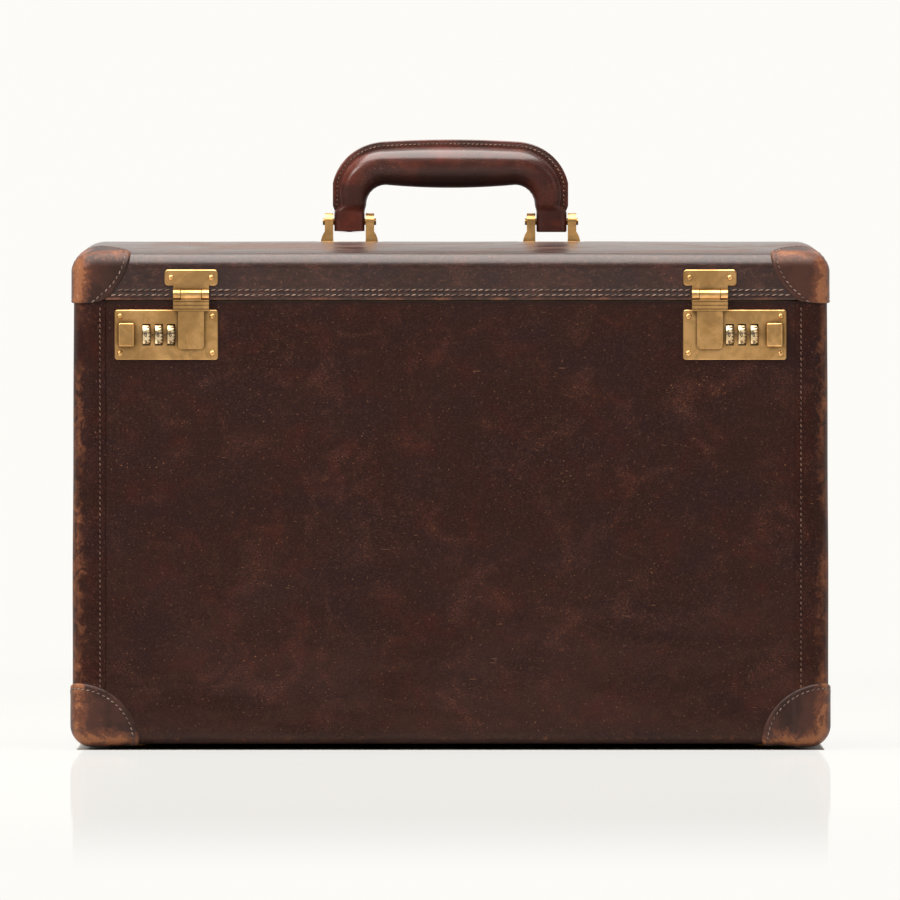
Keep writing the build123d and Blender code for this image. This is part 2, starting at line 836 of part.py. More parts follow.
# Hasps: a plate with two outer knuckles on the lid, and a leaf that hangs from the middle knuckle
tab_clear_z = hasp_z + hasp_barrel_radius + running_gap
shoulder_top = hasp_z - hasp_barrel_radius - running_gap
shoulder_bottom = shoulder_top - hasp_shoulder_height
tongue_bottom = hasp_z - hasp_tongue_end
for name, side in sides.items():
    x = side * hasp_offset
    plate_z = lid_bottom + hasp_plate_rise
    with BuildPart() as hasp_plate:
        with BuildSketch(Plane.XZ.offset(-front_y)):
            with Locations((x, plate_z)):
                RectangleRounded(hasp_plate_width, hasp_plate_height, hasp_plate_corner)
        extrude(amount=hasp_plate_thickness)
        chamfer(hasp_plate.faces().sort_by(Axis.Y)[0].outer_wire().edges(), plate_bevel)
        block(
            (x - hasp_barrel_width / 2, x + hasp_barrel_width / 2),
            (front_y, hasp_plate_face),
            (tab_clear_z, plate_z),
        )
        for end in (-1, 1):
            knuckle = (x + end * hasp_barrel_width / 2, x + end * (hasp_knuckle_width / 2 + hinge_knuckle_gap))
            block(knuckle, (front_y, hasp_plate_face), (hasp_z, tab_clear_z))
            rod_x(knuckle, hasp_y, hasp_z, hasp_barrel_radius)
        bore = (x - hasp_barrel_width, x + hasp_barrel_width)
        rod_x(bore, hasp_y, hasp_z, hasp_pin_radius + pin_clearance, Mode.SUBTRACT)
        for rivet_x, rivet_z in hasp_rivet_places():
            rod_y(rivet_x, (hasp_plate_face, front_y), rivet_z, rivet_shank_radius, Mode.SUBTRACT)
    hasp_plate.part.label = f"hasp_plate_{name}"
    export_step(hasp_plate.part, f"parts/hasp_plate_{name}.step")

    with BuildPart() as hasp_leaf:
        rod_x((x - hasp_knuckle_width / 2, x + hasp_knuckle_width / 2), hasp_y, hasp_z, hasp_barrel_radius)
        block(
            (x - hasp_knuckle_width / 2, x + hasp_knuckle_width / 2),
            (leaf_back, leaf_back - hasp_shoulder_thickness),
            (shoulder_top, hasp_z),
        )
        block(
            (x - hasp_barrel_width / 2, x + hasp_barrel_width / 2),
            (leaf_back, leaf_back - hasp_shoulder_thickness),
            (shoulder_bottom, shoulder_top),
        )
        with BuildSketch(Plane.XZ.offset(-leaf_back)):
            with Locations((x, (shoulder_bottom + tongue_bottom) / 2)):
                Rectangle(hasp_tongue_width, shoulder_bottom - tongue_bottom)
            fillet(vertices().group_by(Axis.Y)[0], hasp_tongue_corner)
        extrude(amount=hasp_leaf_thickness)
        for i in range(hasp_ribs):
            groove_z = shoulder_top - (i + 0.5) * hasp_shoulder_height / hasp_ribs
            front = leaf_back - hasp_shoulder_thickness
            block(
                (x - hasp_barrel_width / 2, x + hasp_barrel_width / 2),
                (front, front + hasp_rib_depth),
                (groove_z - hasp_rib_height / 2, groove_z + hasp_rib_height / 2),
                Mode.SUBTRACT,
            )
        block(
            (x - staple_width / 2, x + staple_width / 2),
            (leaf_back, leaf_back + staple_reach),
            (staple_z - staple_height / 2, staple_z + staple_height / 2),
        )
        rod_x(bore, hasp_y, hasp_z, hasp_pin_radius + pin_clearance, Mode.SUBTRACT)
    hasp_leaf.part.label = f"hasp_leaf_{name}"
    export_step(hasp_leaf.part, f"parts/hasp_leaf_{name}.step")

with BuildPart() as hasp_pins:
    for side in sides.values():
        x = side * hasp_offset
        rod_x((x - hasp_barrel_width / 2, x + hasp_barrel_width / 2), hasp_y, hasp_z, hasp_pin_radius)
hasp_pins.part.label = "hasp_pins"
export_step(hasp_pins.part, "parts/hasp_pins.step")

# Handle brackets: a base let into the lid's hide, and two ears that flare out at the foot
ear_inner = ear_gap / 2
ear_outer = ear_inner + ear_thickness
bracket_base_z = crown_z - bracket_base_thickness
for name, side in sides.items():
    x = side * bracket_offset
    with BuildPart() as handle_bracket:
        for end in (-1, 1):
            with BuildSketch(Plane.XZ):
                with BuildLine():
                    flare = RadiusArc(
                        (x + end * (ear_outer + ear_flare), crown_z),
                        (x + end * ear_outer, crown_z + handle_pin_rise / 2),
                        -end * handle_pin_rise,
                    )
                    Polyline(
                        flare @ 1,
                        (x + end * ear_outer, pin_z + ear_top_radius),
                        (x + end * ear_inner, pin_z + ear_top_radius),
                        (x + end * ear_inner, crown_z),
                        flare @ 0,
                    )
                make_face()
            extrude(amount=ear_foot_depth / 2, both=True)
        with BuildSketch(Plane.YZ.offset(x)):
            with BuildLine():
                top = CenterArc((0, pin_z), ear_top_radius, 0, 180)
                Polyline(
                    top @ 1, (-ear_foot_depth / 2, crown_z), (ear_foot_depth / 2, crown_z), top @ 0
                )
            make_face()
        extrude(amount=bracket_base_length, both=True, mode=Mode.INTERSECT)
        block(
            (x - bracket_base_length / 2, x + bracket_base_length / 2),
            (-bracket_base_depth / 2, bracket_base_depth / 2),
            (bracket_base_z, crown_z),
        )
        rod_x((x - case_width, x + case_width), 0, pin_z, handle_pin_radius, Mode.SUBTRACT)
        for screw_x in screw_places():
            rod_z(screw_x, 0, (bracket_base_z, crown_z), bracket_screw_radius, Mode.SUBTRACT)
    handle_bracket.part.label = f"handle_bracket_{name}"
    export_step(handle_bracket.part, f"parts/handle_bracket_{name}.step")

with BuildPart() as bracket_screws:
    for x in screw_places():
        rod_z(x, 0, (crown_z - bracket_screw_depth, crown_z), bracket_screw_radius)
bracket_screws.part.label = "bracket_screws"
export_step(bracket_screws.part, "parts/bracket_screws.step")

with BuildPart() as handle_pins:
    for side in sides.values():
        x = side * bracket_offset
        reach = ear_outer + handle_pin_proud
        rod_x((x - reach, x + reach), 0, pin_z, handle_pin_radius)
handle_pins.part.label = "handle_pins"
export_step(handle_pins.part, "parts/handle_pins.step")

# Handle. Its right half as stations in the front view: X and Z of the section's middle, the direction in
# which the section is measured (degrees from +X), its width that way, its depth along Y and its corners.
seam_top = crown_z + handle_rise
inner_half_span = handle_span / 2
grip_under = seam_top - seam_width - grip_height
bend_x = inner_half_span - inner_bend_radius
bend_z = grip_under + grip_sag - inner_bend_radius
shoulder_height = grip_height - grip_taper
tab_top = pin_z + ear_top_radius + running_gap


def grip_station(share):
    """Half the grip's length, from its full middle (0) to the shoulder before the bend (1)."""
    height = grip_height - grip_taper * share**2
    depth = grip_depth + (shoulder_depth - grip_depth) * share
    corner = grip_corner + (shoulder_corner - grip_corner) * share
    middle = grip_under + grip_sag * share**2 + height / 2
    return (bend_x * share, middle, 90, height, depth, corner)


def bend_station(turn):
    """The bend at a turn from 0 degrees, at the top of the leg, to 90 degrees, at the shoulder."""
    share = turn / 90
    width = leg_width + (shoulder_height - leg_width) * share + bend_fullness * sin(radians(2 * turn))
    reach = inner_bend_radius + width / 2
    depth = leg_depth + (shoulder_depth - leg_depth) * share
    corner = leg_corner + (shoulder_corner - leg_corner) * share
    middle = (bend_x + reach * cos(radians(turn)), bend_z + reach * sin(radians(turn)))
    return (*middle, turn, width, depth, corner)


seam_stations = [grip_station(share) for share in grip_shares]
seam_stations += [bend_station(turn) for turn in bend_turns]
tab_levels = (tab_top, pin_z - tab_drop)
stations = seam_stations + [(bracket_offset, z, 0, tab_width, tab_depth, tab_corner) for z in tab_levels]


def handle_form(inset):
    """The handle lofted through its stations, moved inwards by the inset."""
    left = [(-x, z, 180 - turn, *section) for x, z, turn, *section in stations[:0:-1]]
    with BuildPart() as form:
        for x, z, turn, width, depth, corner in left + stations:
            end_inset = inset if z < pin_z else 0
            across = Vector(cos(radians(turn)), 0, sin(radians(turn)))
            along = across.cross(Vector(0, 1, 0))
            with BuildSketch(Plane((x, 0, z + end_inset), x_dir=across, z_dir=along)):
                RectangleRounded(width - 2 * inset, depth - 2 * inset, corner - inset)
        loft(ruled=True)
    return form.part


# The seam flange follows the outside of the handle, from the top of one leg to the other
def outer_point(station, distance):
    x, z, turn, width = station[:4]
    reach = width / 2 + distance
    return (x + reach * cos(radians(turn)), z + reach * sin(radians(turn)))


with BuildPart() as handle_leather:
    add(handle_form(0))
    with BuildSketch(Plane.XZ):
        with BuildLine():
            right_outer = [outer_point(station, seam_width) for station in seam_stations]
            left_outer = [(-x, z) for x, z in right_outer[:0:-1]]
            outer_edge = Spline(*left_outer, *right_outer)
            right_inner = [(station[0], station[1]) for station in seam_stations]
            left_inner = [(-x, z) for x, z in right_inner[:0:-1]]
            inner_edge = Spline(*left_inner, *right_inner)
            Line(outer_edge @ 0, inner_edge @ 0)
            Line(outer_edge @ 1, inner_edge @ 1)
        make_face()
    extrude(amount=seam_thickness / 2, both=True)
    add(handle_form(handle_hide), mode=Mode.SUBTRACT)
    rod_x((-case_width, case_width), 0, pin_z, handle_pin_radius + pin_clearance, Mode.SUBTRACT)
handle_leather.part.label = "handle_leather"
export_step(handle_leather.part, "parts/handle_leather.step")

with BuildPart() as handle_core:
    add(handle_form(handle_hide + core_gap))
    rod_x((-case_width, case_width), 0, pin_z, handle_pin_radius + pin_clearance, Mode.SUBTRACT)
handle_core.part.label = "handle_core"
export_step(handle_core.part, "parts/handle_core.step")
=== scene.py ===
import json
import math

import bmesh
import bpy
import numpy as np
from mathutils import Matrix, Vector


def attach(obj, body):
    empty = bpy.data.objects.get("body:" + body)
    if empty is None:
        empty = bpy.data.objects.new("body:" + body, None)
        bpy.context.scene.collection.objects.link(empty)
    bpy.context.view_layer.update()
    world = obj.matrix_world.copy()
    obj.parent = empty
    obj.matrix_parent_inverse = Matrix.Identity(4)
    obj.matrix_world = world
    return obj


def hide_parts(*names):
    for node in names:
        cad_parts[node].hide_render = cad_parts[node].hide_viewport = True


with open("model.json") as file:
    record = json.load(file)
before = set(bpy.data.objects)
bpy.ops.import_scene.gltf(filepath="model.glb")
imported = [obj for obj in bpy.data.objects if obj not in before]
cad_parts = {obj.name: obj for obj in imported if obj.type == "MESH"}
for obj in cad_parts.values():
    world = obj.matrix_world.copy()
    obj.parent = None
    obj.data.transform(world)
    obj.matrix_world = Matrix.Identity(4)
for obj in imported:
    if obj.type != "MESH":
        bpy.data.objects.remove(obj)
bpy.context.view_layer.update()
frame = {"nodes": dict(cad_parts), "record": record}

# All sizes below are in millimetres, in the frame of the CAD: X to the right, Y to the back, Z up.
mm = 0.001
scene = bpy.context.scene
sides = {"left": -1, "right": 1}
ends = {"front": -1, "back": 1}


class Field:
    # a shader socket that takes part in Python sums, each adding one Math node
    def __init__(self, finish, socket):
        self.finish, self.socket = finish, socket

    def maths(self, operation, first, second=0.0):
        return self.finish.node("ShaderNodeMath", {"operation": operation}, {0: first, 1: second})

    def __add__(self, other):
        return self.maths("ADD", self, other)

    def __sub__(self, other):
        return self.maths("SUBTRACT", self, other)

    def __rsub__(self, other):
        return self.maths("SUBTRACT", other, self)

    def __mul__(self, other):
        return self.maths("MULTIPLY", self, other)

    def __truediv__(self, other):
        return self.maths("DIVIDE", self, other)

    def __abs__(self):
        return self.maths("ABSOLUTE", self)

    __radd__ = __add__
    __rmul__ = __mul__

    def least(self, other):
        return self.maths("MINIMUM", self, other)

    def most(self, other):
        return self.maths("MAXIMUM", self, other)

    def sine(self):
        return self.maths("SINE", self)


class Writer:
    # adds nodes to the tree of a material or a world, and fills their inputs with values or other outputs
    def __init__(self, owner):
        owner.use_nodes = True
        self.tree = owner.node_tree
        self.tree.nodes.clear()

    def node(self, kind, settings=None, values=None, output=0):
        made = self.tree.nodes.new(kind)
        for key, value in (settings or {}).items():
            setattr(made, key, value)
        for key, value in (values or {}).items():
            self.fill(made.inputs[key], value)
        return Field(self, made.outputs[output]) if made.outputs else None

    def fill(self, socket, value):
        if isinstance(value, Field):
            self.tree.links.new(value.socket, socket)
        elif isinstance(value, tuple) and socket.type == "RGBA":
            socket.default_value = (*value, 1.0)
        else:
            socket.default_value = value

    def mixed(self, share, first, second):
        return self.node("ShaderNodeMixShader", {}, {0: share, 1: first, 2: second})


class Finish(Writer):
    # a material around one Principled shader, whose plain values are set on its own sockets
    def __init__(self, name, plain):
        self.material = bpy.data.materials.new(name)
        super().__init__(self.material)
        self.surface = self.node("ShaderNodeBsdfPrincipled", {}, plain)
        self.output = self.tree.nodes.new("ShaderNodeOutputMaterial")
        self.show(self.surface)
        self.place = self.node("ShaderNodeTexCoord", {}, {}, "Object")
        self.x, self.y, self.z = (
            self.node("ShaderNodeSeparateXYZ", {}, {0: self.place}, axis) * 1000 for axis in "XYZ"
        )

    def show(self, surface):
        self.fill(self.output.inputs["Surface"], surface)

    def feed(self, socket, value):
        self.fill(self.surface.socket.node.inputs[socket], value)

    def noise(self, scale, detail=2.0, roughness=0.5, distortion=0.0, place=None):
        # scale is features per metre
        values = {"Scale": scale, "Detail": detail, "Roughness": roughness, "Distortion": distortion}
        values["Vector"] = place or self.place
        return self.node("ShaderNodeTexNoise", {}, values)

    def cells(self, scale, feature="F1", place=None):
        values = {"Vector": place or self.place, "Scale": scale}
        return self.node("ShaderNodeTexVoronoi", {"feature": feature}, values, "Distance")

    def stretched(self, scale, turn=(0.0, 0.0, 0.0)):
        values = {"Vector": self.place, "Scale": scale, "Rotation": turn}
        return self.node("ShaderNodeMapping", {}, values)

    def step(self, value, low, high):
        # 0 below low, 1 above high, smooth between; with low above high it falls instead
        values = {"Value": value, "From Min": low, "From Max": high}
        return self.node("ShaderNodeMapRange", {"interpolation_type": "SMOOTHSTEP"}, values)

    def blend(self, factor, first, second):
        values = {0: factor, 6: first, 7: second}
        return self.node("ShaderNodeMix", {"data_type": "RGBA"}, values, 2)

    def layered(self, colour, *layers):
        # each layer is the share and the colour that it lays over those before it
        for share, over in layers:
            colour = self.blend(share, colour, over)
        return colour

    def cloudy(self, low, high, *noise, **more):
        # soft areas where a noise passes from low to high
        return self.step(self.noise(*noise, **more), low, high)

    def groove(self):
        # the groove attribute: dirt, and painted shade in seams, under patch edges and under the lid's rim
        return self.node("ShaderNodeAttribute", {"attribute_name": "groove"}, {}, "Fac")

    def bump(self, height, depth, strength=1.0):
        # depth in millimetres for a height of 1
        values = {"Height": height, "Distance": depth * mm, "Strength": strength}
        self.feed("Normal", self.node("ShaderNodeBump", {}, values))


# The hide: three tones in soft patches, fine red crackle, tan rubs where an edge is handled, pebble grain.
hideTones = {
    "ground": (0.0185, 0.0053, 0.0036),
    "red": (0.0285, 0.0055, 0.0034),
    "dusk": (0.0160, 0.0052, 0.0052),
    "pore": (0.0050, 0.0018, 0.0016),
    "bloom": (0.0620, 0.0260, 0.0180),
    "dust": (0.1500, 0.0900, 0.0700),
    "crack": (0.125, 0.040, 0.022),
    "speck": (0.30, 0.140, 0.075),
    "rub": (0.165, 0.058, 0.027),
    "tan": (0.34, 0.150, 0.078),
    # dirt: the tone of dirt and of painted shade in grooves, under edges and under the lid's rim
    "dirt": (0.0090, 0.0045, 0.0040),
}


def hideGround(finish):
    # soft patches of three tones, under a fine mottle of dark pores and paler grain drawn out along X
    mottle = finish.noise(1500, 3, 0.7, place=finish.stretched((0.5, 1.0, 1.0)))
    patches = finish.noise(48, 4, 0.62, 0.5) + (mottle - 0.5) * 0.22
    clouds = finish.cloudy(0.44, 0.62, 24, 3, 0.5, place=finish.stretched((1.0, 1.0, 1.5)))
    return finish.layered(
        hideTones["ground"],
        (finish.step(patches, 0.46, 0.72), hideTones["red"]),
        (clouds * 0.8, hideTones["dusk"]),
        (finish.step(mottle, 0.47, 0.30) * 0.9, hideTones["pore"]),
        (finish.step(mottle, 0.53, 0.72), hideTones["bloom"]),
    )


def hideGrain(finish):
    # pebbles from Voronoi cells of about 0.9 mm, and finer noise over them
    return finish.cells(1150, "SMOOTH_F1") * 0.9 + finish.noise(3200, 2, 0.6) * 0.45


def hideCrackle(finish, amount):
    # thin lines where two cells meet, showing only in scattered areas
    near = finish.cells(620, "DISTANCE_TO_EDGE", finish.stretched((1.0, 1.0, 1.25)))
    lines = finish.step(near + finish.noise(420, 2) * 0.05, 0.085, 0.045)
    return lines * finish.cloudy(0.5, 0.68, 34, 4, 0.65, 0.8) * amount


def hideSpecks(finish, low, high):
    # small tan chips, scattered, and closer where the hide is rubbed, with a few thin scratches
    clusters = finish.cloudy(low, high, 26, 3, 0.6, 0.5)
    dots = finish.step(finish.cells(270) + finish.noise(500, 2) * 0.09, 0.175, 0.115)
    chips = finish.cloudy(0.64, 0.74, 950, 3, 0.7) * clusters
    slant = finish.stretched((0.10, 1.0, 1.0), (0.0, 0.35, 0.0))
    lines = finish.cloudy(0.74, 0.79, 1100, 1, 0.5, 0.3, slant) * finish.cloudy(0.52, 0.64, 15, 2, 0.6) * 0.7
    return (dots * (clusters * 0.5 + 0.35)).most(chips).most(lines)


noEdge = 1000.0  # a side of the box so far away that nothing is rubbed along it


def edgeNearness(finish, halfX, halfY, base, height):
    # the middle one of the distances to the box's sides: small along every edge, large on the faces
    a = halfX - abs(finish.x)
    b = halfY - abs(finish.y)
    c = (finish.z - base).least(height - finish.z)
    return a + b + c - a.most(b).most(c) - a.least(b).least(c)


def endNearness(finish):
    # small on the rounded corner as far as the end's own face, and along the base
    a = 227.6 - abs(finish.x)
    b = 90.6 - abs(finish.y)
    return (a + b * 0.35).least(edgeNearness(finish, 227.6, 90.6, 3.2, noEdge))


def makeHide(name, nearness, rubWidth, plain, dustLevel=noEdge, worn=0.3):
    # the top, above the dust's level, is faded in long streaks; worn is the share of pale, creased grain
    finish = Finish(name, plain)
    streaks = finish.noise(30, 4, 0.65, 0.6, finish.stretched((0.3, 1.0, 1.0)))
    dust = finish.step(streaks, 0.45, 0.66) * finish.step(finish.z, dustLevel, dustLevel + 1.5)
    # paler in streaks towards the base
    paleTowardsBase = finish.step(finish.z, 150, 20) * finish.step(streaks, 0.34, 0.6)
    creases = finish.noise(430, 4, 0.7, 0.4, finish.stretched((0.5, 1.0, 1.0)))
    crackle, specks = hideCrackle(finish, 0.55), hideSpecks(finish, 0.58, 0.72)
    distance = nearness(finish) + (finish.noise(150, 5, 0.72, 0.6) - 0.5) * rubWidth * 3.2
    rubbed = finish.step(distance, rubWidth, rubWidth * 0.1) * finish.cloudy(0.36, 0.58, 22, 2)
    layers = (
        (dust * 0.75, "dust"),
        (paleTowardsBase * 0.22, "bloom"),
        (finish.step(creases, 0.53, 0.68) * worn * 0.7, "bloom"),
        (finish.step(creases, 0.47, 0.34) * worn * 0.6, "pore"),
        (crackle, "crack"),
        (specks * 0.75, "speck"),
        (rubbed * 0.85, "rub"),
        (finish.step(distance, rubWidth * 0.3, -rubWidth * 0.6) * rubbed, "tan"),
        # dirt and painted shade in seams, under edges and under the lid's rim
        (finish.groove() * 0.85, "dirt"),
    )
    layers = [(share, hideTones[tone]) for share, tone in layers]
    finish.feed("Base Color", finish.layered(hideGround(finish), *layers))
    polish = finish.noise(19, 3, 0.6)
    finish.feed("Roughness", 0.33 + polish * 0.2 + crackle * 0.2 + rubbed * 0.12 + dust * 0.12)
    if "Coat Weight" in plain:
        finish.feed("Coat Weight", plain["Coat Weight"] * (1 - dust * 0.75))
    finish.bump(hideGrain(finish) + creases * (worn * 2.4) - crackle * 0.7 - specks * 0.3, 0.07)
    return finish.material


hidePlain = {"Specular IOR Level": 0.18, "Specular Tint": (1.0, 0.84, 0.77), "Coat Roughness": 0.3}
bodyHide = makeHide("bodyHide", lambda f: edgeNearness(f, 250.0, 90.4, 3.2, noEdge), 4.6, hidePlain)
lidHide = makeHide(
    "lidHide",
    lambda f: edgeNearness(f, 226.9, 90.4, 269.6, 307.5),
    2.1,
    {**hidePlain, "Specular IOR Level": 0.24, "Coat Weight": 0.8, "Coat Tint": (1.0, 0.92, 0.88)},
    298.0,
    1.0,
)
endHide = makeHide("endHide", endNearness, 8.2, {**hidePlain, "Specular IOR Level": 0.12})


# Corner patches: the same hide in a redder brown, rubbed through to tan round the outer corner.
patchLook = {
    "dark": (0.043, 0.0140, 0.0085),
    "brown": (0.115, 0.034, 0.014),
    "tan": (0.240, 0.088, 0.035),
    "pale": (0.42, 0.205, 0.115),
}


def makePatchHide(name, base, height, tanWidth, paleWidth, ragging):
    finish = Finish(name, {**hidePlain, "Specular IOR Level": 0.35, "Coat Weight": 0.08})
    fine = finish.noise(600, 3, 0.7)
    ragged = (finish.noise(75, 5, 0.7, 0.9) - 0.5) * ragging + (fine - 0.5) * 9
    distance = edgeNearness(finish, 228.0, 91.6, base, height) + ragged
    tan = finish.step(distance, tanWidth, tanWidth - 3.0)
    crackle = hideCrackle(finish, 0.7)
    stains = finish.cloudy(0.6, 0.72, 300, 4, 0.75, 0.4)
    finish.feed("Base Color", finish.layered(
        patchLook["dark"],
        (finish.cloudy(0.42, 0.6, 40, 3, 0.6), hideTones["ground"]),
        (finish.step(distance, tanWidth + 4.5, tanWidth) * 0.9, patchLook["brown"]),
        (tan, patchLook["tan"]),
        (finish.step(distance, paleWidth, paleWidth - 3.0) * 0.7, patchLook["pale"]),
        (crackle * (1 - tan), hideTones["crack"]),
        (stains * tan * 0.6, patchLook["dark"]),
        # dirt and painted shadow under the patch's outline and in its stitch row
        (finish.groove() * 0.85, hideTones["dirt"]),
    ))
    finish.feed("Roughness", 0.42 + tan * 0.12 + fine * 0.1)
    finish.bump(hideGrain(finish) - crackle * 0.6 - stains * tan * 0.5, 0.06)
    return finish.material


footPatchHide = makePatchHide("footPatchHide", 2.2, noEdge, 7.0, 0.5, 26)
lidPatchHide = makePatchHide("lidPatchHide", -noEdge, 306.8, 8.5, 4.0, 17)

# Handle hide: smooth, polished by the hand, with fine long wrinkles, rubs along its edges and painted shade
# under the grip.
handleLook = {"dark": (0.034, 0.0085, 0.0056), "red": (0.086, 0.017, 0.0095), "rub": (0.17, 0.055, 0.03)}


def makeHandleHide():
    look = {"Specular IOR Level": 0.2, "Specular Tint": (1.0, 0.86, 0.80), "Coat Roughness": 0.22}
    finish = Finish("handleHide", look)
    crackle, chips = hideCrackle(finish, 0.5), hideSpecks(finish, 0.5, 0.68)
    # painted shade: the grip's underside, between the legs, is darkened and made rougher
    under = finish.step(finish.z, 353, 341) * finish.step(abs(finish.x), 56, 40)
    finish.feed("Base Color", finish.layered(
        handleLook["dark"],
        (finish.cloudy(0.38, 0.66, 38, 3, 0.6, 0.4), handleLook["red"]),
        (crackle, handleLook["rub"]),
        (chips * 0.8, hideTones["rub"]),
        # painted shade under the grip
        (under * 0.72, hideTones["pore"]),
        # dirt and painted shade in the seam's groove
        (finish.groove() * 0.8, hideTones["dirt"]),
    ))
    finish.feed("Roughness", 0.26 + finish.noise(60, 3) * 0.2 + crackle * 0.2 + under * 0.2)
    finish.feed("Coat Weight", 0.95 - finish.step(finish.z, 357, 343) * 0.8)
    wrinkles = finish.noise(260, 3, 0.6, 0.5, finish.stretched((1.0, 0.35, 1.0)))
    finish.bump(hideGrain(finish) * 0.7 + wrinkles * 1.6 - crackle - chips * 0.5, 0.12)
    return finish.material


handleHide = makeHandleHide()


# Thread: waxed linen, its colour rubbed from tan to brown, with the twist of its strands.
def makeThread(name, clean, dirty):
    finish = Finish(name, {"Specular IOR Level": 0.3})
    dirt = finish.cloudy(0.36, 0.62, 120, 3, 0.7)
    twist = (finish.x * 5.2 + finish.z * 7.1 + finish.y * 5.2).sine()
    finish.feed("Base Color", finish.blend(dirt, clean, dirty))
    finish.feed("Roughness", 0.62 + dirt * 0.12)
    finish.bump(twist, 0.05)
    return finish.material


caseThread = makeThread("caseThread", (0.300, 0.195, 0.150), (0.130, 0.072, 0.052))
endThread = makeThread("endThread", (0.200, 0.105, 0.072), (0.070, 0.030, 0.020))
handleThread = makeThread("handleThread", (0.300, 0.150, 0.095), (0.130, 0.052, 0.032))
print("leathers and thread ready")


def makeMetal(name, bright, dull, roughness, scratch=1.0):
    # satin metal: tarnish in soft clouds, darker in broad areas, painted shade in its crevices, spotted and
    # finely brushed
    finish = Finish(name, {"Metallic": 1.0})
    clouds, spots = finish.cloudy(0.34, 0.68, 95, 4, 0.62, 0.4), finish.cloudy(0.66, 0.76, 700, 3, 0.6)
    brushed = finish.noise(500, 3, 0.6, place=finish.stretched((0.3, 1.0, 5.0)))
    # painted shade: an ambient occlusion mask darkens the colour where parts meet and round raised parts
    creviceShade = finish.node("ShaderNodeAmbientOcclusion", {"samples": 8}, {"Distance": 4.5 * mm}, "AO")
    layers = (
        (finish.cloudy(0.56, 0.40, 42, 3, 0.6, 0.6) * 0.45, 0.55),
        (spots * 0.45, 0.45),
        # painted shade in the crevices
        (finish.step(creviceShade, 0.94, 0.40) * 0.9, 0.16),
    )
    layers = [(share, tuple(part * dim for part in dull)) for share, dim in layers]
    finish.feed("Base Color", finish.layered(bright, (clouds, dull), *layers))
    finish.feed("Roughness", roughness + clouds * 0.1 + spots * 0.12 + (brushed - 0.5) * 0.12)
    finish.bump(brushed * scratch + spots * -0.6, 0.012)
    return finish.material


brass = makeMetal("brass", (0.87, 0.500, 0.198), (0.60, 0.330, 0.118), 0.30)
dialBrass = makeMetal("dialBrass", (0.88, 0.70, 0.44), (0.72, 0.50, 0.26), 0.26, 0.6)
steel = makeMetal("steel", (0.42, 0.41, 0.39), (0.30, 0.29, 0.27), 0.34)


def makeTwill():
    # diagonal ribs of about 0.9 mm, crossed by the weft, and a faded, dusty ground
    finish = Finish("liningTwill", {"Specular IOR Level": 0.2, "Sheen Weight": 0.15, "Sheen Roughness": 0.5})
    ribs = ((finish.x + finish.y + finish.z) * 4.9).sine() * 0.5 + 0.5
    weft = ((finish.x - finish.y - finish.z) * 10.5).sine() * 0.5 + 0.5
    weave = ribs * 0.7 + weft * 0.3
    fade = finish.cloudy(0.34, 0.66, 14, 4, 0.6, 0.5)
    layers = (fade, (0.215, 0.135, 0.085)), (weave * 0.35, (0.30, 0.20, 0.13))
    finish.feed("Base Color", finish.layered((0.155, 0.085, 0.050), *layers))
    finish.feed("Roughness", 0.82 + fade * 0.08)
    finish.bump(weave + finish.noise(2500, 2) * 0.6, 0.12)
    return finish.material


def makePlywood():
    # pale birch with long streaks and, on the edges, glue lines every 0.75 mm
    finish = Finish("plywood", {"Specular IOR Level": 0.35})
    streaks = finish.noise(60, 5, 0.62, 0.8, finish.stretched((0.12, 1.0, 1.0)))
    plies = finish.step(abs((finish.y.most(finish.x) * 4.18).sine()), 0.25, 0.05)
    layers = (finish.step(streaks, 0.35, 0.66), (0.36, 0.23, 0.13)), (plies * 0.45, (0.20, 0.12, 0.065))
    finish.feed("Base Color", finish.layered((0.47, 0.33, 0.20), *layers))
    finish.feed("Roughness", 0.56 + streaks * 0.2)
    finish.bump(streaks - plies * 0.3, 0.06)
    return finish.material


def makeFelt():
    finish = Finish("coreFelt", {"Specular IOR Level": 0.15})
    fluff = finish.noise(900, 4, 0.7)
    finish.feed("Base Color", finish.blend(fluff, (0.22, 0.185, 0.145), (0.36, 0.31, 0.25)))
    finish.feed("Roughness", 0.9 + fluff * 0.08)
    finish.bump(fluff, 0.15)
    return finish.material


def makePaint():
    # dark filling of the engraved digits and marks, worn thin in places
    finish = Finish("digitPaint", {"Specular IOR Level": 0.4})
    worn = finish.cloudy(0.55, 0.72, 1800, 3, 0.6)
    finish.feed("Base Color", finish.blend(worn * 0.6, (0.020, 0.012, 0.009), (0.17, 0.10, 0.05)))
    finish.feed("Roughness", 0.5 + worn * 0.2)
    return finish.material


twill, plywood, felt, paint = makeTwill(), makePlywood(), makeFelt(), makePaint()
print("metals, cloth, wood and paint ready")


def meshPiece(name, vertices, faces, finish, smooth=True):
    # vertices in millimetres, faces as lists of vertex numbers
    mesh = bpy.data.meshes.new(name)
    mesh.from_pydata((vertices * mm).tolist(), [], faces)
    mesh.polygons.foreach_set("use_smooth", np.full(len(mesh.polygons), smooth))
    mesh.materials.append(finish)
    piece = bpy.data.objects.new(name, mesh)
    scene.collection.objects.link(piece)
    return piece


def gridQuads(number):
    # the four corners of each field of a grid of vertex numbers
    return np.stack([number[:-1, :-1], number[:-1, 1:], number[1:, 1:], number[1:, :-1]], axis=-1)


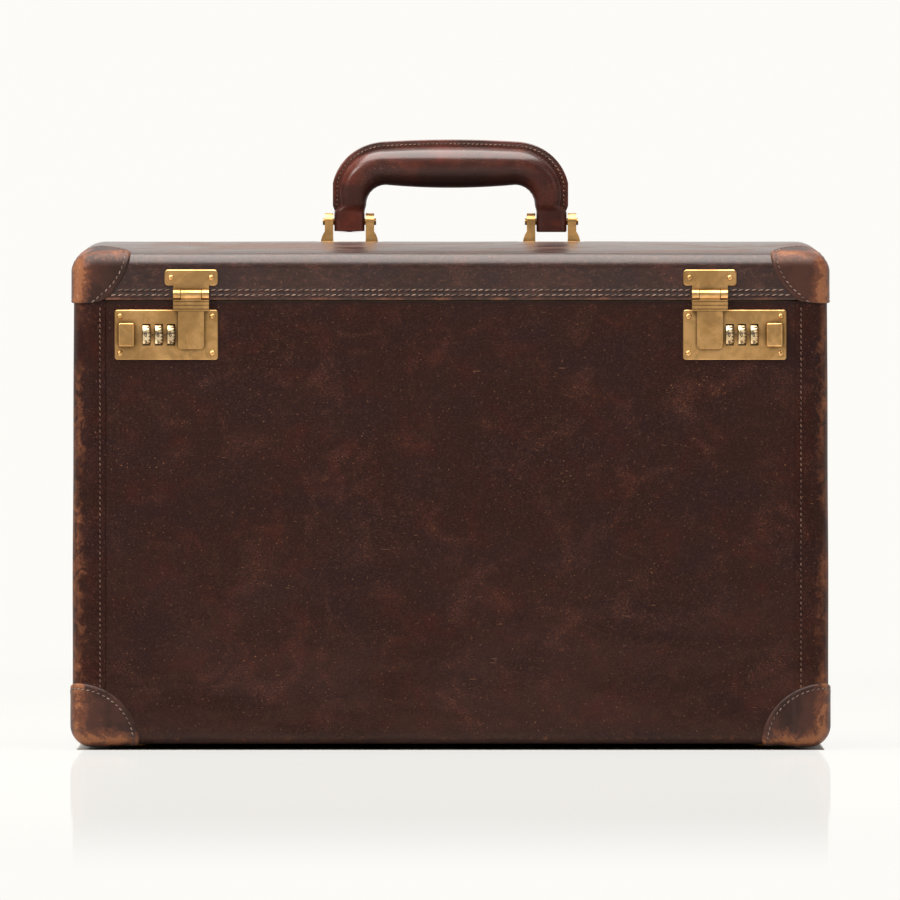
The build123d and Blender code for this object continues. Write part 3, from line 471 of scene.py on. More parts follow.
def gridPiece(name, points, finish, around=False, keep=None, flip=False, groove=None):
    # rows and columns of points, joined by quads; around joins the last column to the first;
    # groove is 0 to 1 at each point, for the dirt and the painted shade along a seam, under an edge and
    # under the lid's rim
    number = np.arange(points.shape[0] * points.shape[1]).reshape(points.shape[:2])
    if around:
        number = np.hstack([number, number[:, :1]])
    quads = gridQuads(number)
    quads = quads[keep] if keep is not None else quads.reshape(-1, 4)
    quads = quads[:, ::-1] if flip else quads
    piece = meshPiece(name, points.reshape(-1, 3), quads.tolist(), finish)
    if groove is not None:
        dirt = piece.data.attributes.new("groove", "FLOAT", "POINT")
        dirt.data.foreach_set("value", np.ascontiguousarray(groove, dtype=np.float32).ravel())
    mergeDoubles(piece)
    return piece


def mergeDoubles(piece):
    shape = bmesh.new()
    shape.from_mesh(piece.data)
    bmesh.ops.remove_doubles(shape, verts=shape.verts, dist=2e-6)
    bmesh.ops.dissolve_degenerate(shape, dist=1e-7, edges=shape.edges)
    bare = [edge for edge in shape.edges if not edge.link_faces]
    bmesh.ops.delete(shape, geom=bare, context="EDGES")
    loose = [point for point in shape.verts if not point.link_faces]
    bmesh.ops.delete(shape, geom=loose, context="VERTS")
    shape.to_mesh(piece.data)
    shape.free()


def thicken(piece, thickness, rim=0.0):
    # a wall grown inwards, with its rim rounded
    wall = piece.modifiers.new("wall", "SOLIDIFY")
    wall.thickness, wall.offset = thickness * mm, -1.0
    if rim:
        soften(piece, rim)


def soften(piece, width, angle=40):
    edge = piece.modifiers.new("edges", "BEVEL")
    edge.width, edge.segments, edge.limit_method = width * mm, 2, "ANGLE"
    edge.angle_limit = math.radians(angle)
    weights = piece.modifiers.new("normals", "WEIGHTED_NORMAL")
    weights.keep_sharp = True


def settle(piece, body, slot, *replaced):
    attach(piece, body)
    if replaced:
        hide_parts(*replaced)
    return piece


def pointsAt(x, y, z):
    # points from their coordinates, each a number or an array
    return np.stack(np.broadcast_arrays(x, y, z), axis=-1)


def smoothStep(value, low, high):
    share = np.clip((value - low) / (high - low), 0, 1)
    return share * share * (3 - 2 * share)


def gridNormals(points):
    across = np.gradient(points, axis=1)
    along = np.gradient(points, axis=0)
    normal = np.cross(across, along)
    return normal / np.maximum(np.linalg.norm(normal, axis=-1, keepdims=True), 1e-9)


def outwardNormals(points, heart):
    # a grid's normals, each turned away from the heart
    normal = gridNormals(points)
    return normal * np.sign((normal * (points - heart)).sum(-1, keepdims=True))


case = {
    "halfWidth": 226.5,
    "halfDepth": 90.0,
    "bottom": 3.5,
    "top": 269.4,
    "corner": 12.0,
    "cornerShrink": 0.35,
    "baseEdge": 11.4,
    "hide": 1.8,
    "skived": 0.8,
    "patch": 1.2,
    "patchWall": 0.9,
    "buried": 1.6,
    "lidBottom": 270.2,
    "crown": 305.3,
    "crownRise": 8.0,
    "shoulderDrop": 7.95,
    "shoulderReach": 7.8,
    "endRadius": 18.0,
    "taper": 1.1,
}


# the straight parts of the outline, from its corner arcs to the middle of the front and of the side, and
# the level at which the lid's front wall ends and its shoulder begins
straightX, straightY = case["halfWidth"] - case["corner"], case["halfDepth"] - case["corner"]
frontWall = case["crown"] - case["crownRise"] - case["shoulderDrop"]


def quarterOutline(halfX, halfY, radius, front, arc, side):
    # One corner in plan: front distances left of the arc, the arc's degrees, and distances along the side.
    # Distances that run to the case's middle are drawn out or in, so that they end there.
    halfX, halfY, radius = (np.asarray(part, float).reshape(-1, 1) for part in (halfX, halfY, radius))
    if np.max(front) > 100:
        front = front * (halfX - radius) / np.max(front)
    if np.max(side) > 60:
        side = side * (halfY - radius) / np.max(side)
    turn = np.radians(arc)
    x = [halfX - radius - front, halfX - radius + radius * np.sin(turn), halfX + 0 * side]
    y = [-halfY + 0 * front, -halfY + radius - radius * np.cos(turn), -halfY + radius + side]
    return np.hstack(x), np.hstack(y)


def crownHeight(y, drop=0.0):
    # a circle's arc through both upper edges and the apex
    rise, half = case["crownRise"], case["halfDepth"]
    radius = (half * half + rise * rise) / (2 * rise)
    return case["crown"] - drop - radius + np.sqrt(radius * radius - np.clip(np.abs(y), 0, half) ** 2)


def lidRings(deep, wallLevels, shoulderTurns, topShares):
    # ring sizes from the wall's foot to the middle of the top: inset in X and Y, share of the shoulder's
    # rise, and share of the way to the middle; all moved inwards by deep
    rings = [(0.0, 0.0, level, 0.0) for level in wallLevels]
    for turn in np.radians(shoulderTurns):
        reachX = (case["endRadius"] - deep) * (1 - math.cos(turn))
        reachY = (case["shoulderReach"] - deep) * (1 - math.cos(turn))
        rings.append((reachX, reachY, 1 + math.sin(turn), 0.0))
    last = rings[-1]
    rings += [(last[0], last[1], 2.0, share) for share in topShares]
    return np.array(rings)


def lidSurface(deep, wallLevels, shoulderTurns, topShares, front, arc, side):
    # The wall rises to a level that falls from the front to the ends, the shoulder climbs from there to the
    # crown by the sine of its turn, and the top runs in to the middle. Levels of the wall go from 0 to 1.
    rings = lidRings(deep, wallLevels, shoulderTurns, topShares)
    insetX, insetY, rise, share = (rings[:, i : i + 1] for i in range(4))
    halfX, halfY = case["halfWidth"] - deep - insetX, case["halfDepth"] - deep - insetY
    radius = np.maximum(case["corner"] - deep - case["cornerShrink"] * (insetX + insetY) / 2, 2.0)
    x, y = quarterOutline(halfX, halfY, radius, front, arc, side)
    ridge = case["halfWidth"] - case["halfDepth"]
    x = x * (1 - share) + np.minimum(x, ridge) * share
    y = y * (1 - share)
    turn = np.concatenate([0 * front, np.asarray(arc) / 90.0, 0 * side + 1.0])
    endShare = smoothStep(turn, 0, 1)
    endWall = case["crown"] - case["endRadius"]
    wallTop = frontWall + (endWall - frontWall) * endShare
    foot = case["lidBottom"]
    onWall = foot + (wallTop - foot) * np.minimum(rise, 1.0)
    climb = np.clip(rise - 1.0, 0, 1)
    crownThere = crownHeight(y, deep)
    return pointsAt(x, y, onWall + (crownThere - wallTop) * climb)


def wholeFromQuarter(points):
    # the front right quarter, repeated round the case: right half, then the left half mirrored
    back = points[:, ::-1] * (1, -1, 1)
    right = np.concatenate([points, back[:, 1:]], axis=1)
    left = right[:, ::-1] * (-1, 1, 1)
    return np.concatenate([right, left[:, 1:-1]], axis=1)


def leatherSwell(x, y, z, size=0.10):
    # slow unevenness of a hide glued over a board
    waves = np.sin(x / 37 + z / 51) + 0.8 * np.sin(x / 23 - z / 31 + 1.7) + 0.6 * np.sin(z / 17 + y / 29)
    return size * waves


# the lip turns under the rim: how far in and how far up each of its rings lies
lidHideShape = {
    "seams": (273.2, 276.2), "groove": 0.32, "grooveHalf": 0.55, "shoulderCrease": 0.45,
    "lip": ((0.05, 0.35), (0.25, 0.12), (0.7, 0.0), (1.2, 0.0), (1.65, 0.15), (1.8, 0.5)),
}
bracketSeat = {"x": 61.2, "halfLength": 17.3, "halfDepth": 8.0, "press": 0.75, "spread": 3.0}


def seatPress(x, y):
    # how far a handle bracket presses the hide down
    seat = bracketSeat
    over = np.maximum(np.abs(np.abs(x) - seat["x"]) - seat["halfLength"], np.abs(y) - seat["halfDepth"])
    return seat["press"] * smoothStep(-over, -seat["spread"], 0.4)


def makeLidHide():
    frontSteps = np.concatenate([np.linspace(straightX, 40, 96), np.linspace(38, 0, 24)])
    sideSteps = np.linspace(0, straightY, 44)
    arc = np.linspace(0, 90, 15)[1:-1]
    span = frontWall - case["lidBottom"]
    levels = np.concatenate([np.arange(0.6, 8, 0.4), np.linspace(8.5, span, 14)]) / span
    shares = np.concatenate([np.linspace(0.04, 0.8, 22), np.linspace(0.82, 1.0, 12)])
    turns = np.linspace(6, 90, 15)
    outer = lidSurface(0.0, levels, turns, shares, frontSteps, arc, sideSteps)
    x, y, z = outer[..., 0], outer[..., 1], outer[..., 2]
    normal = outwardNormals(outer, (0, 0, 285))
    shape = lidHideShape
    push = leatherSwell(x, y, z, 0.06)
    groove = 0 * z
    # the seam rows are pressed in, and their groove value darkens them with dirt and painted shade
    for level in shape["seams"]:
        pressed = np.exp(-(((z - level) / shape["grooveHalf"]) ** 2))
        push, groove = push - shape["groove"] * pressed, groove + pressed
    crease = np.abs(np.arange(len(outer)) - (len(levels) + len(turns) - 1))[:, None]
    push = push - shape["shoulderCrease"] * np.exp(-((crease / 0.8) ** 2)) * (np.abs(y) > 60)
    outer = outer + normal * push[..., None]
    outer[..., 2] -= seatPress(x, y) * (z > 300)
    lip = []
    for inset, level in shape["lip"]:
        sizes = (case[key] - inset for key in ("halfWidth", "halfDepth", "corner"))
        x, y = quarterOutline(*sizes, frontSteps, arc, sideSteps)
        lip.append(pointsAt(x, y, case["lidBottom"] + level))
    turns, shares = np.linspace(15, 90, 6), np.linspace(0.2, 1, 5)
    inner = lidSurface(case["hide"], [0.1, 0.5, 1.0], turns, shares, frontSteps, arc, sideSteps)
    points = np.concatenate([outer[::-1], *lip, inner])
    groove = np.pad(groove[::-1], ((0, len(points) - len(groove)), (0, 0)))
    groove = wholeFromQuarter(np.repeat(groove[..., None], 3, axis=-1))[..., 0]
    whole = wholeFromQuarter(points)
    piece = gridPiece("lidHideCover", whole, lidHide, around=True, flip=True, groove=np.abs(groove))
    return settle(piece, "lid", "case_leather", "lid_cover")


makeLidHide()


lidPatch = {"reach": 35.5, "height": 41.0, "scale": 36.0, "edge": 1.0, "row": 3.3, "dip": 1.9,
            "bulge": 1.4, "bulgeAt": (221.6, -83.8, 295.6), "bulgeSpread": 5.0}


def raisedBy(depth, look):
    # a patch's height over the hide: buried outside its outline, full inside, pressed along its stitches;
    # and its groove, for dirt and painted shadow under the outline and in the pressed stitch row
    height = (case["patch"] + 0.5) * smoothStep(depth, -0.35, look["edge"]) - 0.5
    pressed = np.exp(-(((depth - look["row"]) / 0.5) ** 2))
    return height - 0.26 * pressed, 0.7 * smoothStep(depth, 0.55, 0.0) + pressed


def cornerDepth(place, look, base, upward):
    # how far inside a patch's rounded outline a place lies, about an outer corner of the case
    a = case["halfWidth"] - np.abs(place[..., 0])
    b = case["halfDepth"] - np.abs(place[..., 1])
    c = (place[..., 2] - base) * upward
    far = np.sqrt((a / look["reach"]) ** 2 + (b / look["reach"]) ** 2 + (c / look["height"]) ** 2)
    return (1 - far) * look["scale"]


def lidPatchGrid():
    frontSteps = np.concatenate([np.linspace(44, 0.7, 62), [0.0]])
    sideSteps = frontSteps[::-1]
    arc = np.linspace(0, 90, 17)[1:-1]
    levels = np.linspace(0.0, 1.0, 26)
    turns, shares = np.linspace(5, 90, 18), np.linspace(0.015, 0.5, 44)
    surface = lidSurface(0.0, levels, turns, shares, frontSteps, arc, sideSteps)
    depth = cornerDepth(surface, lidPatch, case["crown"], -1)
    normal = outwardNormals(surface, (180, -60, 280))
    raised, groove = raisedBy(depth, lidPatch)
    # padded over the corner of the board beneath
    away = np.linalg.norm(surface - lidPatch["bulgeAt"], axis=-1) / lidPatch["bulgeSpread"]
    raised = raised + lidPatch["bulge"] * np.exp(-(away**2))
    points = surface + normal * raised[..., None]
    a, b = case["halfWidth"] - surface[..., 0], case["halfDepth"] + surface[..., 1]
    near = smoothStep(np.hypot(a, b), 24, 6)
    foot = smoothStep(surface[..., 2], case["lidBottom"] + 5, case["lidBottom"])
    points[..., 2] -= lidPatch["dip"] * near * foot
    return points, normal, depth, groove


def makeCornerPieces(part, shape, finish, body):
    # the patch worked out at the front right corner, and its mirror images at the other three
    points, _, depth, groove = shape
    kept = (depth[:-1, :-1] > -case["buried"]) & (depth[1:, 1:] > -case["buried"])
    for sideName, side in sides.items():
        for endName, end in ends.items():
            piece = gridPiece(
                f"{part}Corner_{endName}_{sideName}", points * (side, -end, 1), finish,
                keep=kept, flip=side * end > 0, groove=groove,
            )
            thicken(piece, case["patchWall"])
            settle(piece, body, "patch_leather", f"{part}_patch_{endName}_{sideName}")


lidPatchShape = lidPatchGrid()
makeCornerPieces("lid", lidPatchShape, lidPatchHide, "lid")
print("lid hide and its corner patches made")


lockOpening = {"x": 170.5, "halfX": 29.5, "z": 249.35, "halfZ": 8.8}


def openingEdges(axis, half):
    # the two sides of the right lock's opening along an axis
    return lockOpening[axis] - lockOpening[half], lockOpening[axis] + lockOpening[half]


def overLock(x, z):
    hole = lockOpening
    return (np.abs(np.abs(x) - hole["x"]) < hole["halfX"]) & (np.abs(z - hole["z"]) < hole["halfZ"])


# dirt and painted shade under the lid's rim: the body's top 2 mm darkened
def rimDirt(z):
    return smoothStep(z, case["top"] - 2.2, case["top"] - 0.4)


def makeBodyHide():
    holeX, holeZ = openingEdges("x", "halfX"), openingEdges("z", "halfZ")
    mirrored = [-part for part in holeX]
    x = np.unique(np.concatenate([np.linspace(-straightX, straightX, 130), holeX, mirrored]))
    wallFoot = case["bottom"] + case["baseEdge"]
    wall = np.unique(np.concatenate([np.linspace(wallFoot, case["top"], 80), holeZ]))[::-1]
    turn = np.radians(np.linspace(0, 90, 12))[1:-1]
    radius = case["baseEdge"]
    arcY = -case["halfDepth"] + radius * (1 - np.cos(turn))
    arcZ = case["bottom"] + radius * (1 - np.sin(turn))
    floorY = np.linspace(-case["halfDepth"] + radius, case["halfDepth"] - radius, 30)
    front = 0 * wall - case["halfDepth"]
    y = np.concatenate([front, arcY, floorY, -arcY[::-1], -front])
    z = np.concatenate([wall, arcZ, 0 * floorY + case["bottom"], arcZ[::-1], wall[::-1]])
    points = pointsAt(x[None, :], y[:, None], z[:, None])
    swell = leatherSwell(points[..., 0], 0, points[..., 2], 0.07) * smoothStep(points[..., 2], 15, 40)
    points[..., 1] += swell * np.sign(points[..., 1])
    middleX, middleZ = (x[1:] + x[:-1]) / 2, (z[1:] + z[:-1]) / 2
    atFront = (y[1:] + y[:-1]) / 2 < -case["halfDepth"] + 0.1
    keep = ~(atFront[:, None] & overLock(middleX, middleZ[:, None]))
    # dirt and painted shade along the rim under the lid
    dirt = rimDirt(points[..., 2])
    piece = gridPiece("bodyHideWrap", points, bodyHide, keep=keep, flip=True, groove=dirt)
    thicken(piece, case["hide"], 0.5)
    return settle(piece, "case_body", "case_leather", "body_wrap")


makeBodyHide()


endCover = {"start": 206.5, "row": 210.3, "groove": 0.3, "grooveHalf": 0.5, "deep": 2.4}


def bodyRings(levels, turns, insets, grow):
    # level, inset and plan half sizes of rings down the body, round its base edge and under it
    radius = case["baseEdge"] + grow
    bottom = case["bottom"] - grow
    rings = [(level, 0.0) for level in levels]
    rings += [(bottom + radius * (1 - math.sin(t)), radius * (1 - math.cos(t))) for t in np.radians(turns)]
    rings += [(bottom, inset) for inset in insets]
    level, inset = np.array(rings).T
    return level, inset


def endSurface(levels, turns, insets, front, arc, side, grow, startX):
    level, inset = bodyRings(levels, turns, insets, grow)
    lean = case["taper"] * np.clip(level / case["top"], 0, 1) ** 1.2
    halfX = case["halfWidth"] + grow - inset - lean
    halfY = case["halfDepth"] + grow - inset
    corner = np.maximum(case["corner"] + grow - inset, 0.6)
    share = np.asarray(front)
    turn = np.radians(arc)
    halfX, halfY, corner, level = (part[:, None] for part in (halfX, halfY, corner, level))
    strip = startX + (halfX - corner - startX) * share
    x = np.hstack([strip, halfX - corner + corner * np.sin(turn), halfX + 0 * side])
    y = np.hstack([-halfY + 0 * strip, -halfY + corner * (1 - np.cos(turn)), (-halfY + corner) * (1 - side)])
    return pointsAt(x, y, level)


def makeEndCover(name, side):
    row = endCover
    levels = np.linspace(case["top"] - 0.06, case["bottom"] + case["baseEdge"] + 0.2, 90)
    front = np.concatenate([[0.0, 0.015, 0.04, 0.08], np.linspace(0.12, 1.0, 24)])
    arc = np.linspace(0, 90, 14)[1:]
    along = np.linspace(0, 1, 40)[1:]
    turns, insets = np.linspace(8, 90, 11), np.linspace(13.0, 20.8, 7)
    points = endSurface(levels, turns, insets, front, arc, along, case["skived"], row["start"])
    x, y, z = points[..., 0], points[..., 1], points[..., 2]
    edge = 1.1 * (1 - np.sqrt(np.clip((x - row["start"]) / 0.9, 0, 1)))
    seam = row["groove"] * np.exp(-(((x - row["row"]) / row["grooveHalf"]) ** 2))
    wall = smoothStep(z, case["bottom"] - 0.7, case["bottom"] + 6)
    columns = np.arange(points.shape[1]) < len(front)
    # painted shadow: a dark line where the end's skived edge lies over the front hide
    step = smoothStep(x, row["start"] + 0.5, row["start"])
    # the seam's dirt and painted shade, the edge's painted shadow line, and dirt and painted shade under the
    # lid's rim
    groove = np.maximum(columns * (seam / row["groove"] + step), rimDirt(z))
    points[..., 1] += (edge + seam) * wall * columns
    points[..., 2] += edge * (1 - wall)
    points[..., 1] -= leatherSwell(x, y, z, 0.05) * (y < -80)
    points[..., 0] += leatherSwell(y, x, z, 0.10) * (x > 225)
    back = points[:, ::-1] * (1, -1, 1)
    whole = np.concatenate([points, back[:, 1:]], axis=1) * (side, 1, 1)
    groove = np.concatenate([groove, groove[:, -2::-1]], axis=1)
    piece = gridPiece(f"endHide_{name}", whole, endHide, flip=side > 0, groove=groove)
    thicken(piece, endCover["deep"], 0.3)
    return settle(piece, "case_body", "case_leather", f"{name}_end_cover")


for sideName, side in sides.items():
    makeEndCover(sideName, side)

footPatch = {"reach": 40.0, "height": 37.0, "scale": 38.0, "edge": 1.0, "row": 3.4, "startX": 182.0}


def footPatchGrid():
    levels = np.linspace(44.0, case["bottom"] + case["baseEdge"] + 0.2, 50)
    front, arc, along = np.linspace(0, 1, 58), np.linspace(0, 90, 18)[1:], np.linspace(0, 0.44, 56)[1:]
    turns, insets = np.linspace(6, 90, 16), np.linspace(12.6, 46.0, 30)
    surface = endSurface(levels, turns, insets, front, arc, along, 0.0, footPatch["startX"])
    depth = cornerDepth(surface, footPatch, case["bottom"], 1)
    normal = outwardNormals(surface, (180, -50, 45))
    lap = case["skived"] * smoothStep(surface[..., 0], endCover["start"] - 2.0, endCover["start"] + 1.2)
    raised, groove = raisedBy(depth, footPatch)
    points = surface + normal * (raised + lap)[..., None]
    return tuple(part[::-1] for part in (points, normal, depth, groove))


footPatchShape = footPatchGrid()
makeCornerPieces("foot", footPatchShape, footPatchHide, "case_body")
print("body hides and base patches made")

lidStitch = {"pitch": 4.0, "length": 3.1, "width": 0.72, "rise": 0.42, "slant": 14}
endStitch = {"pitch": 3.3, "length": 2.3, "width": 0.66, "rise": 0.34, "slant": 10}
patchStitch = {"pitch": 3.3, "length": 2.5, "width": 0.68, "rise": 0.38, "slant": 12}
handleStitch = {"pitch": 2.7, "length": 2.1, "width": 0.62, "rise": 0.34, "slant": 8}


def resample(path, normal, pitch):
    # equal steps along a polyline, with the direction and the outward normal at each
    run = np.concatenate([[0], np.cumsum(np.linalg.norm(np.diff(path, axis=0), axis=1))])
    count = max(int(run[-1] / pitch), 1)
    at = (np.arange(count) + 0.5) * run[-1] / count
    place, ahead, behind, out = (
        np.stack([np.interp(where, run, line[:, i]) for i in range(3)], axis=-1)
        for where, line in ((at, path), (at + 0.5, path), (at - 0.5, path), (at, normal))
    )
    along = ahead - behind
    along /= np.linalg.norm(along, axis=1, keepdims=True)
    out /= np.linalg.norm(out, axis=1, keepdims=True)
    return place, along, out


def stitchShape(look):
    # one stitch: a round thread that rises by a cosine from its two holes
    along = np.linspace(-0.5, 0.5, 7)
    turn = np.linspace(0, 2 * np.pi, 7)[:-1]
    radius = look["width"] / 2 * np.array([0.35, 0.8, 1.0, 1.0, 1.0, 0.8, 0.35])
    height = look["rise"] * np.cos(np.pi * along) - 0.22
    t = np.repeat(along * look["length"], 6)
    across = np.outer(radius, np.cos(turn)).ravel()
    up = (height[:, None] + np.outer(radius, np.sin(turn))).ravel()
    number = np.arange(42).reshape(7, 6)
    wrapped = np.hstack([number, number[:, :1]])
    caps = [[3, 2, 1, 0], [5, 4, 3, 0], [36, 37, 38, 39], [36, 39, 40, 41]]
    return pointsAt(t, across, up), np.vstack([gridQuads(wrapped).reshape(-1, 4), caps])


def makeStitches(name, rows, look, finish, body, slot):
    # rows: (place, along, out) for every stitch; the shape is turned by the slant and set at each place
    place, along, out = (np.concatenate(part) for part in zip(*rows))
    shape, faces = stitchShape(look)
    across = np.cross(out, along)
    slant = math.radians(look["slant"])
    direction = along * math.cos(slant) + across * math.sin(slant)
    sideways = np.cross(out, direction)
    vertices = (
        place[:, None]
        + shape[None, :, :1] * direction[:, None]
        + shape[None, :, 1:2] * sideways[:, None]
        + shape[None, :, 2:] * out[:, None]
    )
    numbers = faces[None] + np.arange(len(place))[:, None, None] * len(shape)
    piece = meshPiece(name, vertices.reshape(-1, 3), numbers.reshape(-1, 4).tolist(), finish)
    return settle(piece, body, slot)


def mirrored(row, side, end):
    # a row worked out at the front right corner, brought to another corner
    scale = np.array((side, -end, 1))
    return tuple(part * scale for part in row)


# half widths of what covers the lid's seams: the hasp plates, at haspX from the middle, and the hinge
seamCover = {"haspX": 155.6, "hasp": 12.2, "hinge": 197}


def lidSeamRows():
    rows = []
    for level in lidHideShape["seams"]:
        x, y = quarterOutline(
            case["halfWidth"], case["halfDepth"], case["corner"],
            np.linspace(straightX, 0, 200), np.linspace(0, 90, 30)[1:-1], np.linspace(0, straightY, 80),
        )
        ring = wholeFromQuarter(pointsAt(x, y, level))[0]
        ring = np.vstack([ring, ring[:1]])
        middle = np.clip(ring, (-straightX, -straightY, level), (straightX, straightY, level))
        outward = ring - middle
        place, along, out = resample(ring, outward, lidStitch["pitch"])
        free = cornerDepth(place, lidPatch, case["crown"], -1) < -1.0
        hasp = np.abs(np.abs(place[:, 0]) - seamCover["haspX"]) < seamCover["hasp"]
        hasp &= place[:, 1] < -85
        hinge = (np.abs(place[:, 0]) < seamCover["hinge"]) & (place[:, 1] > 85)
        free &= ~hasp & ~hinge
        rows.append((place[free], along[free], out[free]))
    return rows


makeStitches("lidSeam", lidSeamRows(), lidStitch, caseThread, "lid", "case_leather")


def patchSeam(shape, look, base, upward):
    # where the grid's rows and columns pass the seam's depth, in the order of their turn about the corner's
    # diagonal, from the widest gap between two of them
    points, normals, depth, _ = shape
    level = look["row"]
    places, outs = [], []
    for axis in (0, 1):
        first, second = (
            [np.take(part, number, axis=axis) for part in (points, normals, depth)]
            for number in (np.arange(depth.shape[axis] - 1), np.arange(1, depth.shape[axis]))
        )
        found = (first[2] > level) != (second[2] > level)
        share = ((level - first[2]) / np.where(found, second[2] - first[2], 1.0))[found][:, None]
        places.append(first[0][found] * (1 - share) + second[0][found] * share)
        outs.append(first[1][found] * (1 - share) + second[1][found] * share)
    place, out = np.concatenate(places), np.concatenate(outs)
    a = (case["halfWidth"] - place[:, 0]) / look["reach"]
    b = (case["halfDepth"] + place[:, 1]) / look["reach"]
    c = (place[:, 2] - base) * upward / look["height"]
    turn = np.arctan2((a - b) * math.sqrt(3), 2 * c - a - b)
    order = np.argsort(turn)
    gaps = np.diff(turn[order], append=turn[order[0]] + 2 * np.pi)
    order = np.roll(order, -1 - gaps.argmax())
    return resample(place[order], out[order], patchStitch["pitch"])


lidPatchRow = patchSeam(lidPatchShape, lidPatch, case["crown"], -1)
footPatchRow = patchSeam(footPatchShape, footPatch, case["bottom"], 1)
corners = [(side, end) for side in sides.values() for end in ends.values()]
for part, row, body in (("lid", lidPatchRow, "lid"), ("foot", footPatchRow, "case_body")):
    rows = [mirrored(row, side, end) for side, end in corners]
    makeStitches(f"{part}CornerStitches", rows, patchStitch, caseThread, body, "patch_leather")


def endSeamRows():
    rows = []
    for side, end in corners:
        z = np.linspace(case["top"] - 3, 20, 400)
        path = pointsAt(endCover["row"], -case["halfDepth"] - case["skived"] + 0.2, z)
        row = resample(path, pointsAt(0.0, -1.0, 0 * z), endStitch["pitch"])
        free = cornerDepth(row[0], footPatch, case["bottom"], 1) < -0.8
        rows.append(mirrored(tuple(part[free] for part in row), side, end))
    return rows


makeStitches("endSeams", endSeamRows(), endStitch, endThread, "case_body", "case_leather")
print("stitches sewn")

handle = {
    "top": 367.1,
    "seam": 4.4,
    "seamThick": 3.2,
    "grip": 24.9,
    "gripDeep": 25.0,
    "taper": 3.0,
    "sag": 1.8,
    "shoulderDeep": 22.0,
    "bend": 12.0,
    "halfSpan": 51.0,
    "fullness": 1.5,
    "leg": 15.9,
    "legDeep": 15.5,
    "tab": 18.3,
    "tabDeep": 13.0,
    "tabX": 61.2,
    "tabTop": 322.9,
    "tabFoot": 311.0,
    "footRound": 0.6,
    "creases": (326.6, 325.2),
}


def handleSpine():
    # Rows from the left tab's foot over the grip to the right one's, worked out on the right half: X and Z
    # of the section's middle, its turn in degrees, its width in the front view, its depth, and how square
    # its corners are.
    h = handle
    under = h["top"] - h["seam"] - h["grip"]
    bendX, bendZ = h["halfSpan"] - h["bend"], under + h["sag"] - h["bend"]
    shoulder = h["grip"] - h["taper"]
    share = np.linspace(0, 1, 26)
    tall = h["grip"] - h["taper"] * share**2
    deep = h["gripDeep"] + (h["shoulderDeep"] - h["gripDeep"]) * share
    middle = under + h["sag"] * share**2 + tall / 2
    grip = np.stack([bendX * share, middle, 90 + 0 * share, tall, deep, 0 * share])
    turn = np.linspace(90, 0, 30)[1:]
    part = turn / 90
    wide = h["leg"] + (shoulder - h["leg"]) * part + h["fullness"] * np.sin(2 * np.radians(turn))
    reach = h["bend"] + wide / 2
    deep = h["legDeep"] + (h["shoulderDeep"] - h["legDeep"]) * part
    angle = np.radians(turn)
    x, z = bendX + reach * np.cos(angle), bendZ + reach * np.sin(angle)
    bend = np.stack([x, z, turn, wide, deep, 1 - part])
    down = np.linspace(0, 1, 9)[1:]
    legX = h["halfSpan"] + h["leg"] / 2
    ease = smoothStep(down, 0, 1)
    leg = np.stack([
        legX + (h["tabX"] - legX) * ease,
        bendZ + (h["tabTop"] - bendZ) * down,
        0 * down,
        h["leg"] + (h["tab"] - h["leg"]) * ease,
        h["legDeep"] + (h["tabDeep"] - h["legDeep"]) * ease,
        1 + ease,
    ])
    foot = np.linspace(0, 1, 14)[1:]
    sizes = (h["tabX"], h["tabTop"], 0, h["tab"], h["tabDeep"], 2)
    tab = np.stack([size + 0 * foot for size in sizes])
    tab[1] += (h["tabFoot"] - h["tabTop"]) * foot
    half = np.hstack([grip, bend, leg, tab])
    mirror = half[:, :0:-1].copy()
    mirror[0] *= -1
    mirror[2] = 180 - mirror[2]
    return np.hstack([mirror, half])


def makeHandle():
    # each section is a superellipse, |u|^n + |v|^n = 1, that turns with the spine
    x, z, turn, wide, deep, square = handleSpine()
    around = np.linspace(0, 2 * np.pi, 57)[:-1]
    power = (2 / (2.5 + 0.55 * square))[:, None]
    cosine, sine = np.cos(around)[None], np.sin(around)[None]
    u = np.sign(cosine) * np.abs(cosine) ** power * wide[:, None] / 2
    v = np.sign(sine) * np.abs(sine) ** power * deep[:, None] / 2
    pinch = 0.14 * np.clip(cosine, 0, 1) ** 3 * (square[:, None] < 1.5)
    v = v * (1 - pinch)
    # creases across the legs above the brackets, and folds inside the bends
    inward = np.clip(-cosine, 0, 1)
    waves, bent = np.sin(np.radians(turn) * 26)[:, None], np.sin(np.radians(2 * turn))[:, None]
    folds = 0.07 * waves * inward * bent**2
    crease = sum(0.16 * np.exp(-(((z - level) / 0.45) ** 2)) for level in handle["creases"])[:, None]
    size = 1 - (folds + crease) / (wide[:, None] / 2)
    u, v = u * size, v * (1 - crease / (deep[:, None] / 2))
    ax, az = np.cos(np.radians(turn))[:, None], np.sin(np.radians(turn))[:, None]
    points = pointsAt(x[:, None] + u * ax, v, z[:, None] + u * az)
    # rounded feet of the tabs: three smaller rings at each end, the last of them a point
    middle = points[-1].mean(axis=0)
    rings = [middle + (points[-1] - middle) * shrink for shrink in (0.93, 0.8, 0.0)]
    turned = [np.roll((ring * (-1, 1, 1))[::-1], 29, axis=0) for ring in rings]
    points[[0, -1], :, 2] += handle["footRound"]
    whole = np.concatenate([np.stack(turned[::-1]), points, np.stack(rings)])
    piece = gridPiece("handleHideGrip", whole, handleHide, around=True, flip=True)
    return settle(piece, "handle", "handle_leather", "handle_leather")


makeHandle()


